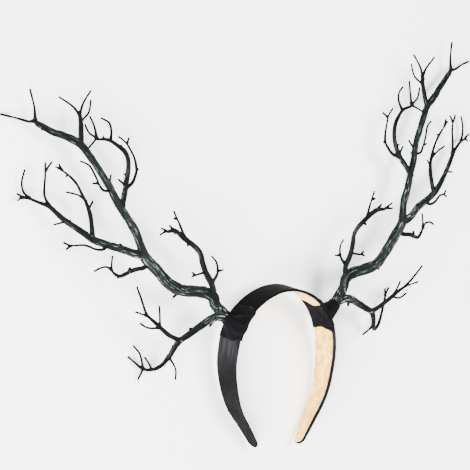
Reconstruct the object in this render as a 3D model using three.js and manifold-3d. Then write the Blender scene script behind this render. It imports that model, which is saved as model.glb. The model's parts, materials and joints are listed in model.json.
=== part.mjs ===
// A costume headband: a fabric covered hoop with a bare branch bound to each side by black tape.
// Everything is worked out as it is worn, in millimetres: x to the side, y to the back, z up from the
// tips of the hoop. At the end the headband is laid on its back, as it lies on a table.
import * as THREE from 'three';
import { mergeVertices } from 'three/addons/utils/BufferGeometryUtils.js';
import Module from 'manifold-3d';

const wasm = await Module();
wasm.setup();

// The hoop, by the outside of its fabric: half an ellipse over the crown, then legs that bend inward
// and run straight to their tips
const hoopWidth = 123;
const crownHeight = 58;
const legBend = 106;
const legLean = THREE.MathUtils.degToRad(30);
const legStraight = 39.5;
const bandBreadth = 25.4;
const bandThickness = 2;
const bandEdgeRound = 0.6;
const liningBreadth = 21.8;
const liningThickness = 1;
const liningTipMargin = 5;

// Pieces that touch keep this gap
const clearance = 0.3;

// The branches: reach to the side, rise and sweep to the back, all from the foot on the hoop, and the
// girth of the trunk. A branch is flatter from front to back than it is wide.
const branchReach = 230;
const branchRise = 230;
const branchSweep = 47;
const branchGirth = 10.6;
const branchFlatness = 0.7;
const footAlong = 119.5;
const footForward = 7;
const footLength = 17;
const footLift = THREE.MathUtils.degToRad(50);

// The tape that binds a branch to the hoop: two turns that cross on the inside, wider turns on the
// outside, and a collar round the foot of the branch
const insideTapeAlong = 122.5;
const tapeWidth = 15.5;
const tapeThickness = 0.8;
const tapeCrossing = THREE.MathUtils.degToRad(22);
const outsideTapeAlong = 127.5;
const tapeSpread = 29;
const collarThickness = 1;

// How finely curves are cut
const legSteps = 14;
const crownSteps = 12;
const boughSides = 6;
const twigSides = 5;
const collarSides = 10;
const limbStep = 10.7;

// Breadth of the hoop from a tip to the crown: along in shares of that way, breadth in shares of
// bandBreadth
const taper = [
  { along: 0, breadth: 0.42 },
  { along: 0.05, breadth: 0.45 },
  { along: 0.11, breadth: 0.52 },
  { along: 0.21, breadth: 0.71 },
  { along: 0.31, breadth: 0.88 },
  { along: 0.44, breadth: 0.96 },
  { along: 0.52, breadth: 1 },
  { along: 1, breadth: 1 },
];

// Stations of a limb: out, up and back in shares of branchReach, branchRise and branchSweep, girth in
// shares of branchGirth
const limb = (...rows) => rows.map(([out, up, back, girth]) => ({ out, up, back, girth }));

// The leader starts where the foot ends and climbs to the outermost twigs
const leader = limb(
  [0.101, 0.112, 0.05, 0.96],
  [0.112, 0.142, 0.05, 0.97],
  [0.145, 0.161, 0.065, 0.98],
  [0.207, 0.172, 0.065, 0.96],
  [0.275, 0.185, 0.07, 0.95],
  [0.33, 0.222, 0.1, 0.94],
  [0.38, 0.272, 0.12, 0.93],
  [0.44, 0.332, 0.165, 0.9],
  [0.452, 0.372, 0.2, 0.74],
  [0.468, 0.418, 0.25, 0.72],
  [0.498, 0.47, 0.295, 0.71],
  [0.52, 0.515, 0.33, 0.7],
  [0.553, 0.574, 0.39, 0.68],
  [0.57, 0.611, 0.43, 0.66],
  [0.607, 0.67, 0.5, 0.64],
  [0.643, 0.725, 0.56, 0.62],
  [0.674, 0.769, 0.61, 0.66],
  [0.712, 0.794, 0.65, 0.66],
  [0.752, 0.812, 0.69, 0.62],
  [0.794, 0.828, 0.735, 0.58],
  [0.83, 0.853, 0.775, 0.54],
  [0.861, 0.875, 0.81, 0.48],
);

// The other limbs of both branches, the thick ones first
const sideLimb = limb(
  [0.43, 0.327, 0.165, 0.7],
  [0.495, 0.346, 0.2, 0.7],
  [0.549, 0.366, 0.235, 0.68],
  [0.605, 0.386, 0.265, 0.64],
  [0.667, 0.411, 0.32, 0.6],
  [0.707, 0.443, 0.36, 0.55],
  [0.742, 0.47, 0.41, 0.52],
  [0.775, 0.496, 0.465, 0.48],
  [0.807, 0.527, 0.535, 0.44],
  [0.836, 0.558, 0.6, 0.38],
  [0.874, 0.58, 0.66, 0.27],
  [0.914, 0.598, 0.725, 0.23],
  [0.945, 0.6, 0.755, 0.16],
);
const innerBough = limb(
  [0.108, 0.135, 0.03, 0.56],
  [0.113, 0.189, 0.06, 0.55],
  [0.14, 0.234, 0.08, 0.54],
  [0.156, 0.274, 0.1, 0.5],
  [0.165, 0.31, 0.12, 0.47],
  [0.192, 0.34, 0.135, 0.46],
  [0.242, 0.373, 0.135, 0.44],
  [0.293, 0.401, 0.125, 0.41],
  [0.335, 0.401, 0.11, 0.25],
);
const lowerBough = limb(
  [0.058, 0.058, 0, 0.76],
  [0.1, 0.066, 0, 0.74],
  [0.137, 0.058, 0.01, 0.7],
  [0.182, 0.036, 0.05, 0.64],
  [0.228, 0.012, 0.09, 0.58],
  [0.268, -0.01, 0.13, 0.54],
  [0.287, -0.042, 0.19, 0.47],
  [0.298, -0.078, 0.26, 0.41],
);
const arch = limb(
  [0.522, 0.505, 0.32, 0.52],
  [0.508, 0.541, 0.35, 0.51],
  [0.482, 0.598, 0.4, 0.48],
  [0.467, 0.65, 0.44, 0.44],
  [0.466, 0.693, 0.475, 0.42],
  [0.48, 0.72, 0.515, 0.4],
  [0.502, 0.739, 0.555, 0.36],
  [0.537, 0.765, 0.595, 0.31],
  [0.594, 0.775, 0.63, 0.21],
);
const plume = limb(
  [0.667, 0.411, 0.32, 0.46],
  [0.663, 0.462, 0.385, 0.42],
  [0.662, 0.506, 0.43, 0.38],
  [0.678, 0.556, 0.49, 0.29],
  [0.695, 0.587, 0.52, 0.24],
  [0.716, 0.624, 0.54, 0.22],
  [0.747, 0.658, 0.565, 0.2],
  [0.782, 0.686, 0.59, 0.17],
  [0.8, 0.7, 0.62, 0.13],
);
const spire = limb(
  [0.675, 0.758, 0.6, 0.58],
  [0.667, 0.8, 0.63, 0.5],
  [0.662, 0.853, 0.665, 0.41],
  [0.666, 0.884, 0.68, 0.35],
);
const spur = limb(
  [0.415, 0.315, 0.15, 0.46],
  [0.439, 0.287, 0.155, 0.44],
  [0.487, 0.277, 0.165, 0.41],
  [0.52, 0.265, 0.2, 0.37],
  [0.551, 0.258, 0.225, 0.32],
  [0.575, 0.273, 0.245, 0.26],
  [0.591, 0.293, 0.25, 0.24],
);
const boughs = [sideLimb, innerBough, lowerBough, arch, plume, spire, spur];

// Twigs of both branches: the two last stations are the bend and the tip
const twigs = [
  // from the leader, root to tip
  limb([0.275, 0.18, 0.07, 0.3], [0.305, 0.158, 0.12, 0.2]),
  limb([0.49, 0.462, 0.288, 0.4], [0.485, 0.485, 0.3, 0.24]),
  limb([0.56, 0.59, 0.4, 0.22], [0.6, 0.595, 0.41, 0.22], [0.62, 0.62, 0.43, 0.2], [0.635, 0.65, 0.45, 0.19],
    [0.655, 0.69, 0.5, 0.18], [0.69, 0.71, 0.56, 0.14]),
  limb([0.62, 0.62, 0.43, 0.18], [0.65, 0.622, 0.48, 0.13]),
  limb([0.565, 0.61, 0.43, 0.2], [0.545, 0.65, 0.48, 0.14]),
  limb([0.665, 0.88, 0.68, 0.26], [0.69, 0.91, 0.71, 0.2], [0.755, 0.955, 0.775, 0.14]),
  limb([0.665, 0.88, 0.68, 0.26], [0.65, 0.92, 0.67, 0.2], [0.61, 0.97, 0.66, 0.14]),
  limb([0.66, 0.855, 0.67, 0.2], [0.62, 0.885, 0.68, 0.18], [0.605, 0.935, 0.7, 0.13]),
  limb([0.86, 0.88, 0.81, 0.3], [0.86, 0.93, 0.83, 0.19], [0.875, 0.995, 0.87, 0.13]),
  limb([0.86, 0.88, 0.81, 0.34], [0.885, 0.88, 0.83, 0.25], [0.94, 0.895, 0.91, 0.18], [1, 0.905, 1, 0.13]),
  // from the arch
  limb([0.482, 0.592, 0.398, 0.34], [0.45, 0.605, 0.42, 0.3], [0.43, 0.63, 0.445, 0.25], [0.42, 0.655, 0.475, 0.23],
    [0.425, 0.69, 0.51, 0.21], [0.44, 0.72, 0.56, 0.19], [0.455, 0.745, 0.6, 0.18], [0.49, 0.775, 0.64, 0.13]),
  limb([0.452, 0.742, 0.6, 0.17], [0.43, 0.765, 0.65, 0.13]),
  limb([0.42, 0.65, 0.47, 0.2], [0.408, 0.655, 0.48, 0.14]),
  limb([0.48, 0.6, 0.4, 0.25], [0.515, 0.63, 0.45, 0.14]),
  limb([0.53, 0.765, 0.59, 0.24], [0.52, 0.8, 0.63, 0.2], [0.525, 0.83, 0.65, 0.18], [0.56, 0.855, 0.7, 0.13]),
  limb([0.59, 0.78, 0.63, 0.22], [0.595, 0.83, 0.68, 0.18], [0.605, 0.87, 0.745, 0.13]),
  limb([0.59, 0.78, 0.63, 0.22], [0.625, 0.805, 0.64, 0.18], [0.645, 0.845, 0.66, 0.15]),
  limb([0.59, 0.78, 0.63, 0.2], [0.645, 0.75, 0.58, 0.14]),
  // from the side limb
  limb([0.55, 0.37, 0.23, 0.4], [0.55, 0.39, 0.22, 0.2]),
  limb([0.765, 0.495, 0.46, 0.22], [0.825, 0.485, 0.54, 0.15]),
  limb([0.832, 0.557, 0.596, 0.28], [0.845, 0.6, 0.65, 0.22], [0.84, 0.67, 0.655, 0.18], [0.845, 0.72, 0.62, 0.13]),
  limb([0.84, 0.685, 0.65, 0.17], [0.81, 0.72, 0.62, 0.13]),
  limb([0.906, 0.597, 0.717, 0.22], [0.925, 0.62, 0.77, 0.2], [0.93, 0.655, 0.79, 0.18], [0.915, 0.7, 0.785, 0.13]),
  limb([0.935, 0.605, 0.75, 0.17], [0.962, 0.62, 0.77, 0.13]),
  limb([0.935, 0.605, 0.75, 0.17], [0.958, 0.59, 0.77, 0.13]),
  limb([0.6, 0.385, 0.26, 0.27], [0.63, 0.372, 0.25, 0.24], [0.66, 0.375, 0.27, 0.22], [0.705, 0.395, 0.34, 0.2],
    [0.755, 0.4, 0.46, 0.17], [0.78, 0.415, 0.53, 0.13]),
  limb([0.75, 0.4, 0.45, 0.17], [0.775, 0.385, 0.49, 0.13]),
  // from the plume
  limb([0.667, 0.528, 0.456, 0.2], [0.645, 0.56, 0.445, 0.13]),
  limb([0.675, 0.555, 0.49, 0.22], [0.71, 0.58, 0.49, 0.18], [0.77, 0.6, 0.53, 0.13]),
  limb([0.771, 0.678, 0.58, 0.16], [0.785, 0.71, 0.6, 0.13]),
  // from the spur
  limb([0.588, 0.285, 0.25, 0.24], [0.588, 0.31, 0.245, 0.17], [0.585, 0.345, 0.235, 0.13]),
  limb([0.585, 0.29, 0.25, 0.24], [0.61, 0.303, 0.26, 0.19], [0.637, 0.302, 0.28, 0.16], [0.665, 0.29, 0.32, 0.13]),
  limb([0.51, 0.27, 0.18, 0.3], [0.51, 0.292, 0.17, 0.15]),
  // from the inner bough
  limb([0.115, 0.195, 0.06, 0.3], [0.085, 0.23, 0.055, 0.23], [0.085, 0.27, 0.08, 0.2], [0.11, 0.3, 0.11, 0.13]),
  limb([0.082, 0.238, 0.06, 0.2], [0.05, 0.24, 0.06, 0.14]),
  limb([0.145, 0.24, 0.08, 0.24], [0.2, 0.23, 0.065, 0.19], [0.22, 0.225, 0.06, 0.14]),
  limb([0.195, 0.23, 0.065, 0.17], [0.215, 0.245, 0.075, 0.13]),
  limb([0.215, 0.36, 0.13, 0.3], [0.235, 0.345, 0.11, 0.17]),
  limb([0.24, 0.375, 0.13, 0.25], [0.26, 0.42, 0.15, 0.2], [0.29, 0.475, 0.16, 0.13]),
  limb([0.272, 0.443, 0.155, 0.17], [0.292, 0.445, 0.155, 0.13]),
  limb([0.29, 0.4, 0.125, 0.28], [0.32, 0.425, 0.13, 0.14]),
  limb([0.335, 0.405, 0.11, 0.2], [0.37, 0.425, 0.085, 0.13]),
  limb([0.335, 0.405, 0.11, 0.18], [0.375, 0.4, 0.085, 0.13]),
  // from the lower bough
  limb([0.12, 0.06, 0, 0.34], [0.127, 0.028, 0.06, 0.17]),
  limb([0.2, 0.028, 0.07, 0.34], [0.222, 0.035, 0.13, 0.17]),
];

// The thin ends of the lower bough are bent by hand. On the left the upper end stands up and the lower
// one runs flat, and on the right the upper end lies flatter and the lower one curls up behind it.
const bentEnds = {
  left: [
    limb([0.262, -0.008, 0.13, 0.43], [0.315, 0.018, 0.12, 0.41], [0.372, 0.055, 0.105, 0.37],
      [0.408, 0.08, 0.115, 0.31], [0.438, 0.105, 0.13, 0.26], [0.463, 0.145, 0.095, 0.21],
      [0.482, 0.185, 0.065, 0.18], [0.5, 0.22, 0.035, 0.13]),
    limb([0.372, 0.055, 0.105, 0.2], [0.38, 0.085, 0.08, 0.17], [0.388, 0.14, 0.06, 0.13]),
    limb([0.372, 0.052, 0.105, 0.2], [0.425, 0.055, 0.17, 0.17], [0.462, 0.075, 0.2, 0.13]),
    limb([0.438, 0.1, 0.13, 0.18], [0.503, 0.125, 0.1, 0.13]),
    limb([0.295, -0.067, 0.25, 0.41], [0.325, -0.098, 0.3, 0.36], [0.368, -0.112, 0.34, 0.3],
      [0.402, -0.106, 0.4, 0.25], [0.435, -0.08, 0.45, 0.2], [0.463, -0.052, 0.51, 0.13]),
    limb([0.368, -0.112, 0.34, 0.19], [0.39, -0.08, 0.33, 0.17], [0.412, -0.055, 0.32, 0.13]),
    limb([0.402, -0.105, 0.4, 0.2], [0.415, -0.048, 0.425, 0.17], [0.443, -0.012, 0.47, 0.13]),
    limb([0.402, -0.106, 0.4, 0.19], [0.426, -0.147, 0.425, 0.13]),
    limb([0.295, -0.072, 0.26, 0.2], [0.268, -0.118, 0.235, 0.17], [0.256, -0.166, 0.3, 0.13]),
  ],
  right: [
    limb([0.262, -0.008, 0.13, 0.43], [0.318, 0.008, 0.12, 0.41], [0.38, 0.034, 0.105, 0.37],
      [0.418, 0.05, 0.115, 0.31], [0.455, 0.065, 0.13, 0.26], [0.483, 0.09, 0.095, 0.21],
      [0.51, 0.12, 0.065, 0.18], [0.54, 0.152, 0.035, 0.13]),
    limb([0.38, 0.034, 0.105, 0.2], [0.4, 0.06, 0.08, 0.17], [0.42, 0.096, 0.06, 0.13]),
    limb([0.38, 0.034, 0.105, 0.2], [0.44, 0.022, 0.17, 0.17], [0.486, 0.038, 0.2, 0.13]),
    limb([0.455, 0.065, 0.13, 0.18], [0.53, 0.085, 0.1, 0.13]),
    limb([0.295, -0.067, 0.25, 0.39], [0.312, -0.086, 0.3, 0.34], [0.333, -0.076, 0.32, 0.29],
      [0.366, -0.038, 0.36, 0.26], [0.394, 0.002, 0.4, 0.23], [0.424, 0.036, 0.47, 0.18],
      [0.455, 0.053, 0.55, 0.13]),
    limb([0.412, 0.025, 0.44, 0.17], [0.405, 0.058, 0.42, 0.13]),
    limb([0.295, -0.072, 0.26, 0.2], [0.256, -0.108, 0.32, 0.13]),
  ],
};

// A closed solid with a number of steps along it. place(step, across, out) gives the point for each
// corner from its direction on a unit circle, and 0, 0 is the middle of an end.
function swept(steps, sides, turn, place) {
  const geometry = new THREE.CylinderGeometry(1, 1, 1, sides, steps, false, turn);
  const corners = geometry.attributes.position;
  for (let i = 0; i < corners.count; i += 1) {
    const step = Math.round((corners.getY(i) + 0.5) * steps);
    const point = place(step, corners.getX(i), corners.getZ(i));
    corners.setXYZ(i, point.x, point.y, point.z);
  }
  return solidOf(geometry);
}

// The same shape as a solid that can be cut and joined
function solidOf(geometry) {
  geometry.deleteAttribute('normal');
  geometry.deleteAttribute('uv');
  const merged = mergeVertices(geometry, 1e-5);
  const vertProperties = new Float32Array(merged.attributes.position.array);
  const triVerts = new Uint32Array(merged.index.array);
  return new wasm.Manifold(new wasm.Mesh({ numProp: 3, vertProperties, triVerts }));
}

function meshOf(name, solid, color, roughness) {
  const { vertProperties, triVerts } = solid.getMesh();
  const geometry = new THREE.BufferGeometry();
  geometry.setAttribute('position', new THREE.BufferAttribute(vertProperties, 3));
  geometry.setIndex(new THREE.BufferAttribute(triVerts, 1));
  geometry.computeVertexNormals();
  const mesh = new THREE.Mesh(geometry, new THREE.MeshStandardMaterial({ color, roughness, metalness: 0 }));
  mesh.name = name;
  return mesh;
}

// Half of the hoop's outline in its own plane, from the right tip to the middle of the crown
const shoulderHeight = legBend * Math.sin(legLean) + legStraight * Math.cos(legLean);
const bendMiddle = hoopWidth / 2 - legBend;
const bendFoot = new THREE.Vector2(
  bendMiddle + legBend * Math.cos(legLean),
  shoulderHeight - legBend * Math.sin(legLean),
);
const hoopTip = new THREE.Vector2(bendFoot.x - legStraight * Math.sin(legLean), 0);
const halfHoop = new THREE.Path();
halfHoop.moveTo(hoopTip.x, hoopTip.y);
halfHoop.lineTo(bendFoot.x, bendFoot.y);
halfHoop.absarc(bendMiddle, shoulderHeight, legBend, -legLean, 0, false);
halfHoop.absellipse(0, shoulderHeight, hoopWidth / 2, crownHeight, 0, Math.PI / 2, false);
const halfLength = halfHoop.getLength();

// Where the hoop is at a distance along from a tip, on the side +1 or -1: the point on its outside, the
// way out and the way along, which runs from the right tip over the crown to the left one
function onHoop(along, side) {
  const point = halfHoop.getPointAt(along / halfLength);
  const way = halfHoop.getTangentAt(along / halfLength);
  return {
    point: new THREE.Vector3(side * point.x, 0, point.y),
    out: new THREE.Vector3(side * way.y, 0, -way.x),
    way: new THREE.Vector3(way.x, 0, side * way.y),
  };
}

// Breadth of the hoop at a distance from its tip
function breadthAt(along) {
  const share = along / halfLength;
  const next = Math.max(1, taper.findIndex((row) => row.along >= share));
  const [low, high] = [taper[next - 1], taper[next]];
  const mix = THREE.MathUtils.smoothstep(share, low.along, high.along);
  return bandBreadth * THREE.MathUtils.lerp(low.breadth, high.breadth, mix);
}

// A strip that follows the hoop between two depths under its outside. It starts at a distance from each
// tip with a round end, is narrower than the hoop by trim, and is grown all round by grow.
function strip({ start, top, bottom, trim, edge, grow }) {
  const tipRadius = (breadthAt(start) - trim) / 2;
  const alongs = [0.02, 0.14, 0.45].map((share) => start + share * tipRadius);
  const legEnd = start + tipRadius;
  const crownFacet = (halfLength - shoulderHeight) / crownSteps / 2;
  const bodySteps = legSteps + crownSteps;
  for (let i = 0; i <= bodySteps; i += 1) {
    alongs.push(THREE.MathUtils.lerp(legEnd, halfLength - crownFacet, i / bodySteps));
  }
  const rings = alongs.map((along) => ({ along, side: 1 }));
  rings.push(...alongs.map((along) => ({ along, side: -1 })).reverse());
  const places = rings.map(({ along, side }) => {
    const fromTip = Math.min(1, (along - start) / tipRadius);
    const round = Math.sqrt(1 - (1 - fromTip) ** 2);
    const half = Math.min((breadthAt(along) - trim) / 2, tipRadius * round + Math.max(0, along - legEnd));
    return { ...onHoop(along, side), half: half + grow };
  });
  const high = top + grow;
  const low = bottom - grow;
  const sides = edge > 0 ? 8 : 4;
  return swept(places.length - 1, sides, Math.PI / sides, (step, across, out) => {
    const { point, half, out: outward } = places[step];
    const flank = Math.abs(across) > Math.abs(out) ? 0 : edge;
    const face = Math.abs(across) > Math.abs(out) ? edge : 0;
    const depth = (high + low) / 2 + Math.sign(out) * ((high - low) / 2 - face);
    const place = point.clone().addScaledVector(outward, depth);
    place.y += Math.sign(across) * Math.max(0.05, half - flank);
    return place;
  });
}

// The hoop with its lining, as the space that the tape goes round
const hoopDepth = bandThickness + clearance + liningThickness;
const hoopEnvelope = { start: 0, top: 0, bottom: -hoopDepth, trim: 0, edge: 0 };

// The hoop and the space inside it, grown all round
const hoopAndInside = (grow) => strip({ ...hoopEnvelope, bottom: -branchGirth, grow });

// The way a branch faces: along its spread, square to it
const branchTurn = Math.atan2(branchSweep, branchReach);

// The foot of a branch on the outside of the hoop
function footOf(side) {
  const { point } = onHoop(footAlong, side);
  return point.setY(-footForward);
}

function branchPoint(row, side) {
  const foot = footOf(side);
  return new THREE.Vector3(
    foot.x + side * row.out * branchReach,
    foot.y + row.back * branchSweep,
    foot.z + row.up * branchRise,
  );
}

// The stretch of trunk that the tape holds, from inside the hoop to where the leader starts
function footStretch(side) {
  const foot = footOf(side);
  const way = new THREE.Vector3(side * Math.cos(footLift), 0, Math.sin(footLift));
  return [
    foot.clone().addScaledVector(way, -branchGirth / 2),
    foot,
    foot.clone().addScaledVector(way, footLength),
  ];
}

// A limb with an oval section through points with a girth each, grown all round by grow
function limbSolid(points, girths, { side, sides, grow }) {
  const curve = new THREE.CatmullRomCurve3(points, false, 'centripetal');
  const steps = Math.max(2, Math.round(curve.getLength() / limbStep));
  const front = new THREE.Vector3(side * Math.sin(branchTurn), -Math.cos(branchTurn), 0);
  const rings = Array.from({ length: steps + 1 }, (_, i) => {
    const t = i / steps;
    const way = curve.getTangent(t);
    const flank = new THREE.Vector3().crossVectors(front, way).normalize();
    const face = new THREE.Vector3().crossVectors(flank, way);
    const at = t * (girths.length - 1);
    const before = Math.min(Math.floor(at), girths.length - 2);
    const girth = branchGirth * THREE.MathUtils.lerp(girths[before], girths[before + 1], at - before);
    return { middle: curve.getPoint(t), flank, face, girth };
  });
  return swept(steps, sides, 0, (step, across, out) => {
    const { middle, flank, face, girth } = rings[step];
    return middle.clone()
      .addScaledVector(flank, across * (girth / 2 + grow))
      .addScaledVector(face, out * (girth * branchFlatness / 2 + grow));
  });
}

function limbFromRows(rows, side, sides, grow = 0) {
  const points = rows.map((row) => branchPoint(row, side));
  return limbSolid(points, rows.map((row) => row.girth), { side, sides, grow });
}

function trunkSolid(side, grow) {
  const points = [...footStretch(side), ...leader.map((row) => branchPoint(row, side))];
  const girths = [1, 1, 1, ...leader.map((row) => row.girth)];
  return limbSolid(points, girths, { side, sides: boughSides + 2, grow });
}

function branch(side) {
  const ends = side < 0 ? bentEnds.left : bentEnds.right;
  const limbs = [
    trunkSolid(side, 0),
    ...boughs.map((rows) => limbFromRows(rows, side, boughSides)),
    ...[...twigs, ...ends].map((rows) => limbFromRows(rows, side, twigSides)),
  ];
  return wasm.Manifold.union(limbs).subtract(hoopAndInside(clearance));
}

// A slab across the hoop that a turn of tape fills, outside the middle of the hoop with facing 1 and
// inside it with -1
function tapeSlab(side, { along, width, angle, facing }) {
  const { point, out, way } = onHoop(along, side);
  const across = new THREE.Vector3(0, 1, 0);
  const slab = new THREE.BoxGeometry(2 * bandBreadth, width, bandBreadth);
  slab.rotateZ(angle);
  slab.translate(0, 0, (facing * (bandBreadth - tapeThickness) - hoopDepth) / 2);
  slab.applyMatrix4(new THREE.Matrix4().makeBasis(across, way, out).setPosition(point));
  return solidOf(slab);
}

function binding(side) {
  const wound = (layers) => strip({ ...hoopEnvelope, grow: clearance + layers * tapeThickness });
  const inside = { along: insideTapeAlong, width: tapeWidth, facing: -1 };
  const crossedUp = wound(1).intersect(tapeSlab(side, { ...inside, angle: tapeCrossing }));
  const crossedDown = wound(1.25).intersect(tapeSlab(side, { ...inside, angle: -tapeCrossing }));
  const outside = wound(1.1).intersect(tapeSlab(side, {
    along: outsideTapeAlong, width: tapeSpread, angle: 0, facing: 1,
  }));
  const collar = limbSolid(footStretch(side), [1, 1, 1], {
    side, sides: collarSides, grow: clearance + collarThickness,
  });
  const trunk = trunkSolid(side, clearance);
  const bough = limbFromRows(lowerBough, side, boughSides, clearance);
  const sleeve = wasm.Manifold.union([crossedUp, crossedDown, outside])
    .subtract(strip({ ...hoopEnvelope, grow: clearance }));
  return wasm.Manifold.union([sleeve, collar.subtract(hoopAndInside(clearance + tapeThickness / 2))])
    .subtract(wasm.Manifold.union([trunk, bough]).subtract(hoopAndInside(0)));
}

const band = strip({
  start: 0, top: 0, bottom: -bandThickness, trim: 0, edge: bandEdgeRound, grow: 0,
});
const liningTop = -bandThickness - clearance;
const lining = strip({
  start: liningTipMargin, top: liningTop, bottom: liningTop - liningThickness,
  trim: bandBreadth - liningBreadth, edge: 0, grow: 0,
});

const worn = new THREE.Group();
worn.add(
  meshOf('band', band, 0x2a2a2c, 0.7),
  meshOf('lining', lining, 0xeed6bc, 0.95),
  meshOf('left_antler', branch(-1), 0x2c3a3a, 0.6),
  meshOf('right_antler', branch(1), 0x2c3a3a, 0.6),
  meshOf('left_binding', binding(-1), 0x1c1c1e, 0.6),
  meshOf('right_binding', binding(1), 0x1c1c1e, 0.6),
);

// Volume and centre of volume of a mesh
function centreOf({ geometry }) {
  const [a, b, c] = [new THREE.Vector3(), new THREE.Vector3(), new THREE.Vector3()];
  const centre = new THREE.Vector3();
  let volume = 0;
  for (let i = 0; i < geometry.index.count; i += 3) {
    [a, b, c].forEach((corner, k) => {
      corner.fromBufferAttribute(geometry.attributes.position, geometry.index.getX(i + k));
    });
    const part = a.dot(new THREE.Vector3().crossVectors(b, c)) / 6;
    centre.addScaledVector(a.clone().add(b).add(c), part / 4);
    volume += part;
  }
  return { volume, centre: centre.divideScalar(volume) };
}

// The lean of the table that touches the back of the headband on both sides of its centre of mass
function restingLean(meshes) {
  const parts = meshes.map(centreOf);
  const volume = parts.reduce((sum, part) => sum + part.volume, 0);
  const height = parts.reduce((sum, part) => sum + part.volume * part.centre.z, 0) / volume;
  const back = [];
  for (const { geometry } of meshes) {
    const { position } = geometry.attributes;
    for (let i = 0; i < position.count; i += 1) back.push([position.getZ(i), position.getY(i)]);
  }
  back.sort((p, q) => p[0] - q[0] || p[1] - q[1]);
  const hull = [];
  for (const point of back) {
    while (hull.length > 1) {
      const [p, q] = hull.slice(-2);
      if ((q[0] - p[0]) * (point[1] - p[1]) < (q[1] - p[1]) * (point[0] - p[0])) break;
      hull.pop();
    }
    hull.push(point);
  }
  const next = hull.findIndex(([z]) => z > height);
  const [p, q] = [hull[next - 1], hull[next]];
  return Math.atan2(q[1] - p[1], q[0] - p[0]);
}

worn.rotation.x = restingLean(worn.children) - Math.PI / 2;
worn.updateMatrixWorld(true);
const extent = new THREE.Box3().setFromObject(worn, true);
const middle = extent.getCenter(new THREE.Vector3());
worn.position.set(-middle.x, -middle.y, -extent.min.z);

const headband = new THREE.Group();
headband.add(worn);

export default headband;
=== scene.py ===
# %% [markdown]
# # A branch headband
# The object is a costume piece: a fabric covered hair band with a bare branch bound to each side by
# black tape. It lies on its back on a pale table, with the front that shows when it is worn facing up.
# The solids of every piece come in first, as a fixed frame. Each step below then builds one piece in
# full detail in its solid's place, in millimetres and as it is worn, and lays it down at the end.

# %% The frame and the tools
import json
import math
import time
from collections import namedtuple

import bmesh
import bpy
import numpy as np
from mathutils import Matrix, Vector


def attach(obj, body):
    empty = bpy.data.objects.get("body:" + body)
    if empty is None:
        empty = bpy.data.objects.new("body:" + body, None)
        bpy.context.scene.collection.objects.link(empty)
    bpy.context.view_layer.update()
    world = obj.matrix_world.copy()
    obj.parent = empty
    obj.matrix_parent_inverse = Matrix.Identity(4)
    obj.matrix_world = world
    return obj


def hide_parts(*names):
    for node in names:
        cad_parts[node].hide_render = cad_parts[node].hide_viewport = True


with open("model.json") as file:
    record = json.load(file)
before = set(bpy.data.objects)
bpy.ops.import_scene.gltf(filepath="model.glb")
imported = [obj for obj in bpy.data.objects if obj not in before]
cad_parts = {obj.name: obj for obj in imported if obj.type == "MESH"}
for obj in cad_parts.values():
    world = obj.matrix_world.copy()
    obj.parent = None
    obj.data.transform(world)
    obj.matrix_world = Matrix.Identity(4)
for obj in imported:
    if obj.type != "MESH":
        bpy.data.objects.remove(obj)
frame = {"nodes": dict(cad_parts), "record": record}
started = time.perf_counter()
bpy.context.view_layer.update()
print("solids:", sorted(frame["nodes"]))

# %% [markdown]
# ## From worn to laid
# It is easiest to think of a headband as worn: x to the side, y to the back and z up from the tips of
# the hoop. On the table it lies on its back and leans a little, because the longest twigs hold its top
# off the table. The seat under the crown faces straight down when worn, so its axis in the record gives
# the lean. The band's own solid, turned back by that lean, then gives the shift.

# %% Turn and shift between the two
MM = 0.001

# Sizes of the hoop's line, as in the solids
LEG_BEND = 106.0
LEG_LEAN = math.radians(30)
LEG_STRAIGHT = 39.5
CROWN_HEIGHT = 58.0
SHOULDER_HEIGHT = LEG_BEND * math.sin(LEG_LEAN) + LEG_STRAIGHT * math.cos(LEG_LEAN)

seat = next(m for m in frame["record"]["mounts"] if m["name"] == "crown_seat")
lean = math.atan2(-seat["axis"][2], -seat["axis"][1])
turn = np.array([[1, 0, 0], [0, math.sin(lean), math.cos(lean)], [0, -math.cos(lean), math.sin(lean)]])


def corners_of(obj):
    """The corners of a mesh in millimetres, as an array."""
    corners = np.empty(3 * len(obj.data.vertices))
    obj.data.vertices.foreach_get("co", corners)
    return corners.reshape(-1, 3) / MM


band_corners = corners_of(frame["nodes"]["band"]) @ turn
HOOP_WIDTH = np.ptp(band_corners[:, 0])
BAND_BREADTH = np.ptp(band_corners[:, 1])
worn_origin = np.array([
    0,
    (band_corners[:, 1].min() + band_corners[:, 1].max()) / 2,
    band_corners[:, 2].max() - SHOULDER_HEIGHT - CROWN_HEIGHT,
])


def laid(points):
    """Points as worn, in millimetres, as they lie on the table, in metres."""
    return (np.asarray(points) + worn_origin) @ turn.T * MM


print(f"lean {math.degrees(lean):.2f} degrees")
print(f"hoop {HOOP_WIDTH:.1f} mm wide, band {BAND_BREADTH:.1f} mm broad")

# %% [markdown]
# ## The camera
# A headband is the same on both sides, so pairs of like points in a picture of it tell how the camera
# stood: 43 degrees round to the side and 8 degrees above, for the worn headband. The camera keeps that
# view of it. On the table this becomes a view from above, at 47 degrees over the floor.

# %% Camera
CAMERA_TURN = math.radians(43)
CAMERA_RISE = math.radians(8.3)
CAMERA_DISTANCE = 4000.0
PICTURE_PIXELS = 470
PIXELS_PER_MM = 1.117
ORIGIN_RIGHT = 36.7
ORIGIN_BELOW = 188.9

right = np.array([math.cos(CAMERA_TURN), -math.sin(CAMERA_TURN), 0])
ahead = np.array([
    math.sin(CAMERA_TURN) * math.cos(CAMERA_RISE),
    math.cos(CAMERA_TURN) * math.cos(CAMERA_RISE),
    -math.sin(CAMERA_RISE),
])
up = np.cross(right, ahead)
eye = -ORIGIN_RIGHT * right + ORIGIN_BELOW * up - CAMERA_DISTANCE * ahead

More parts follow.
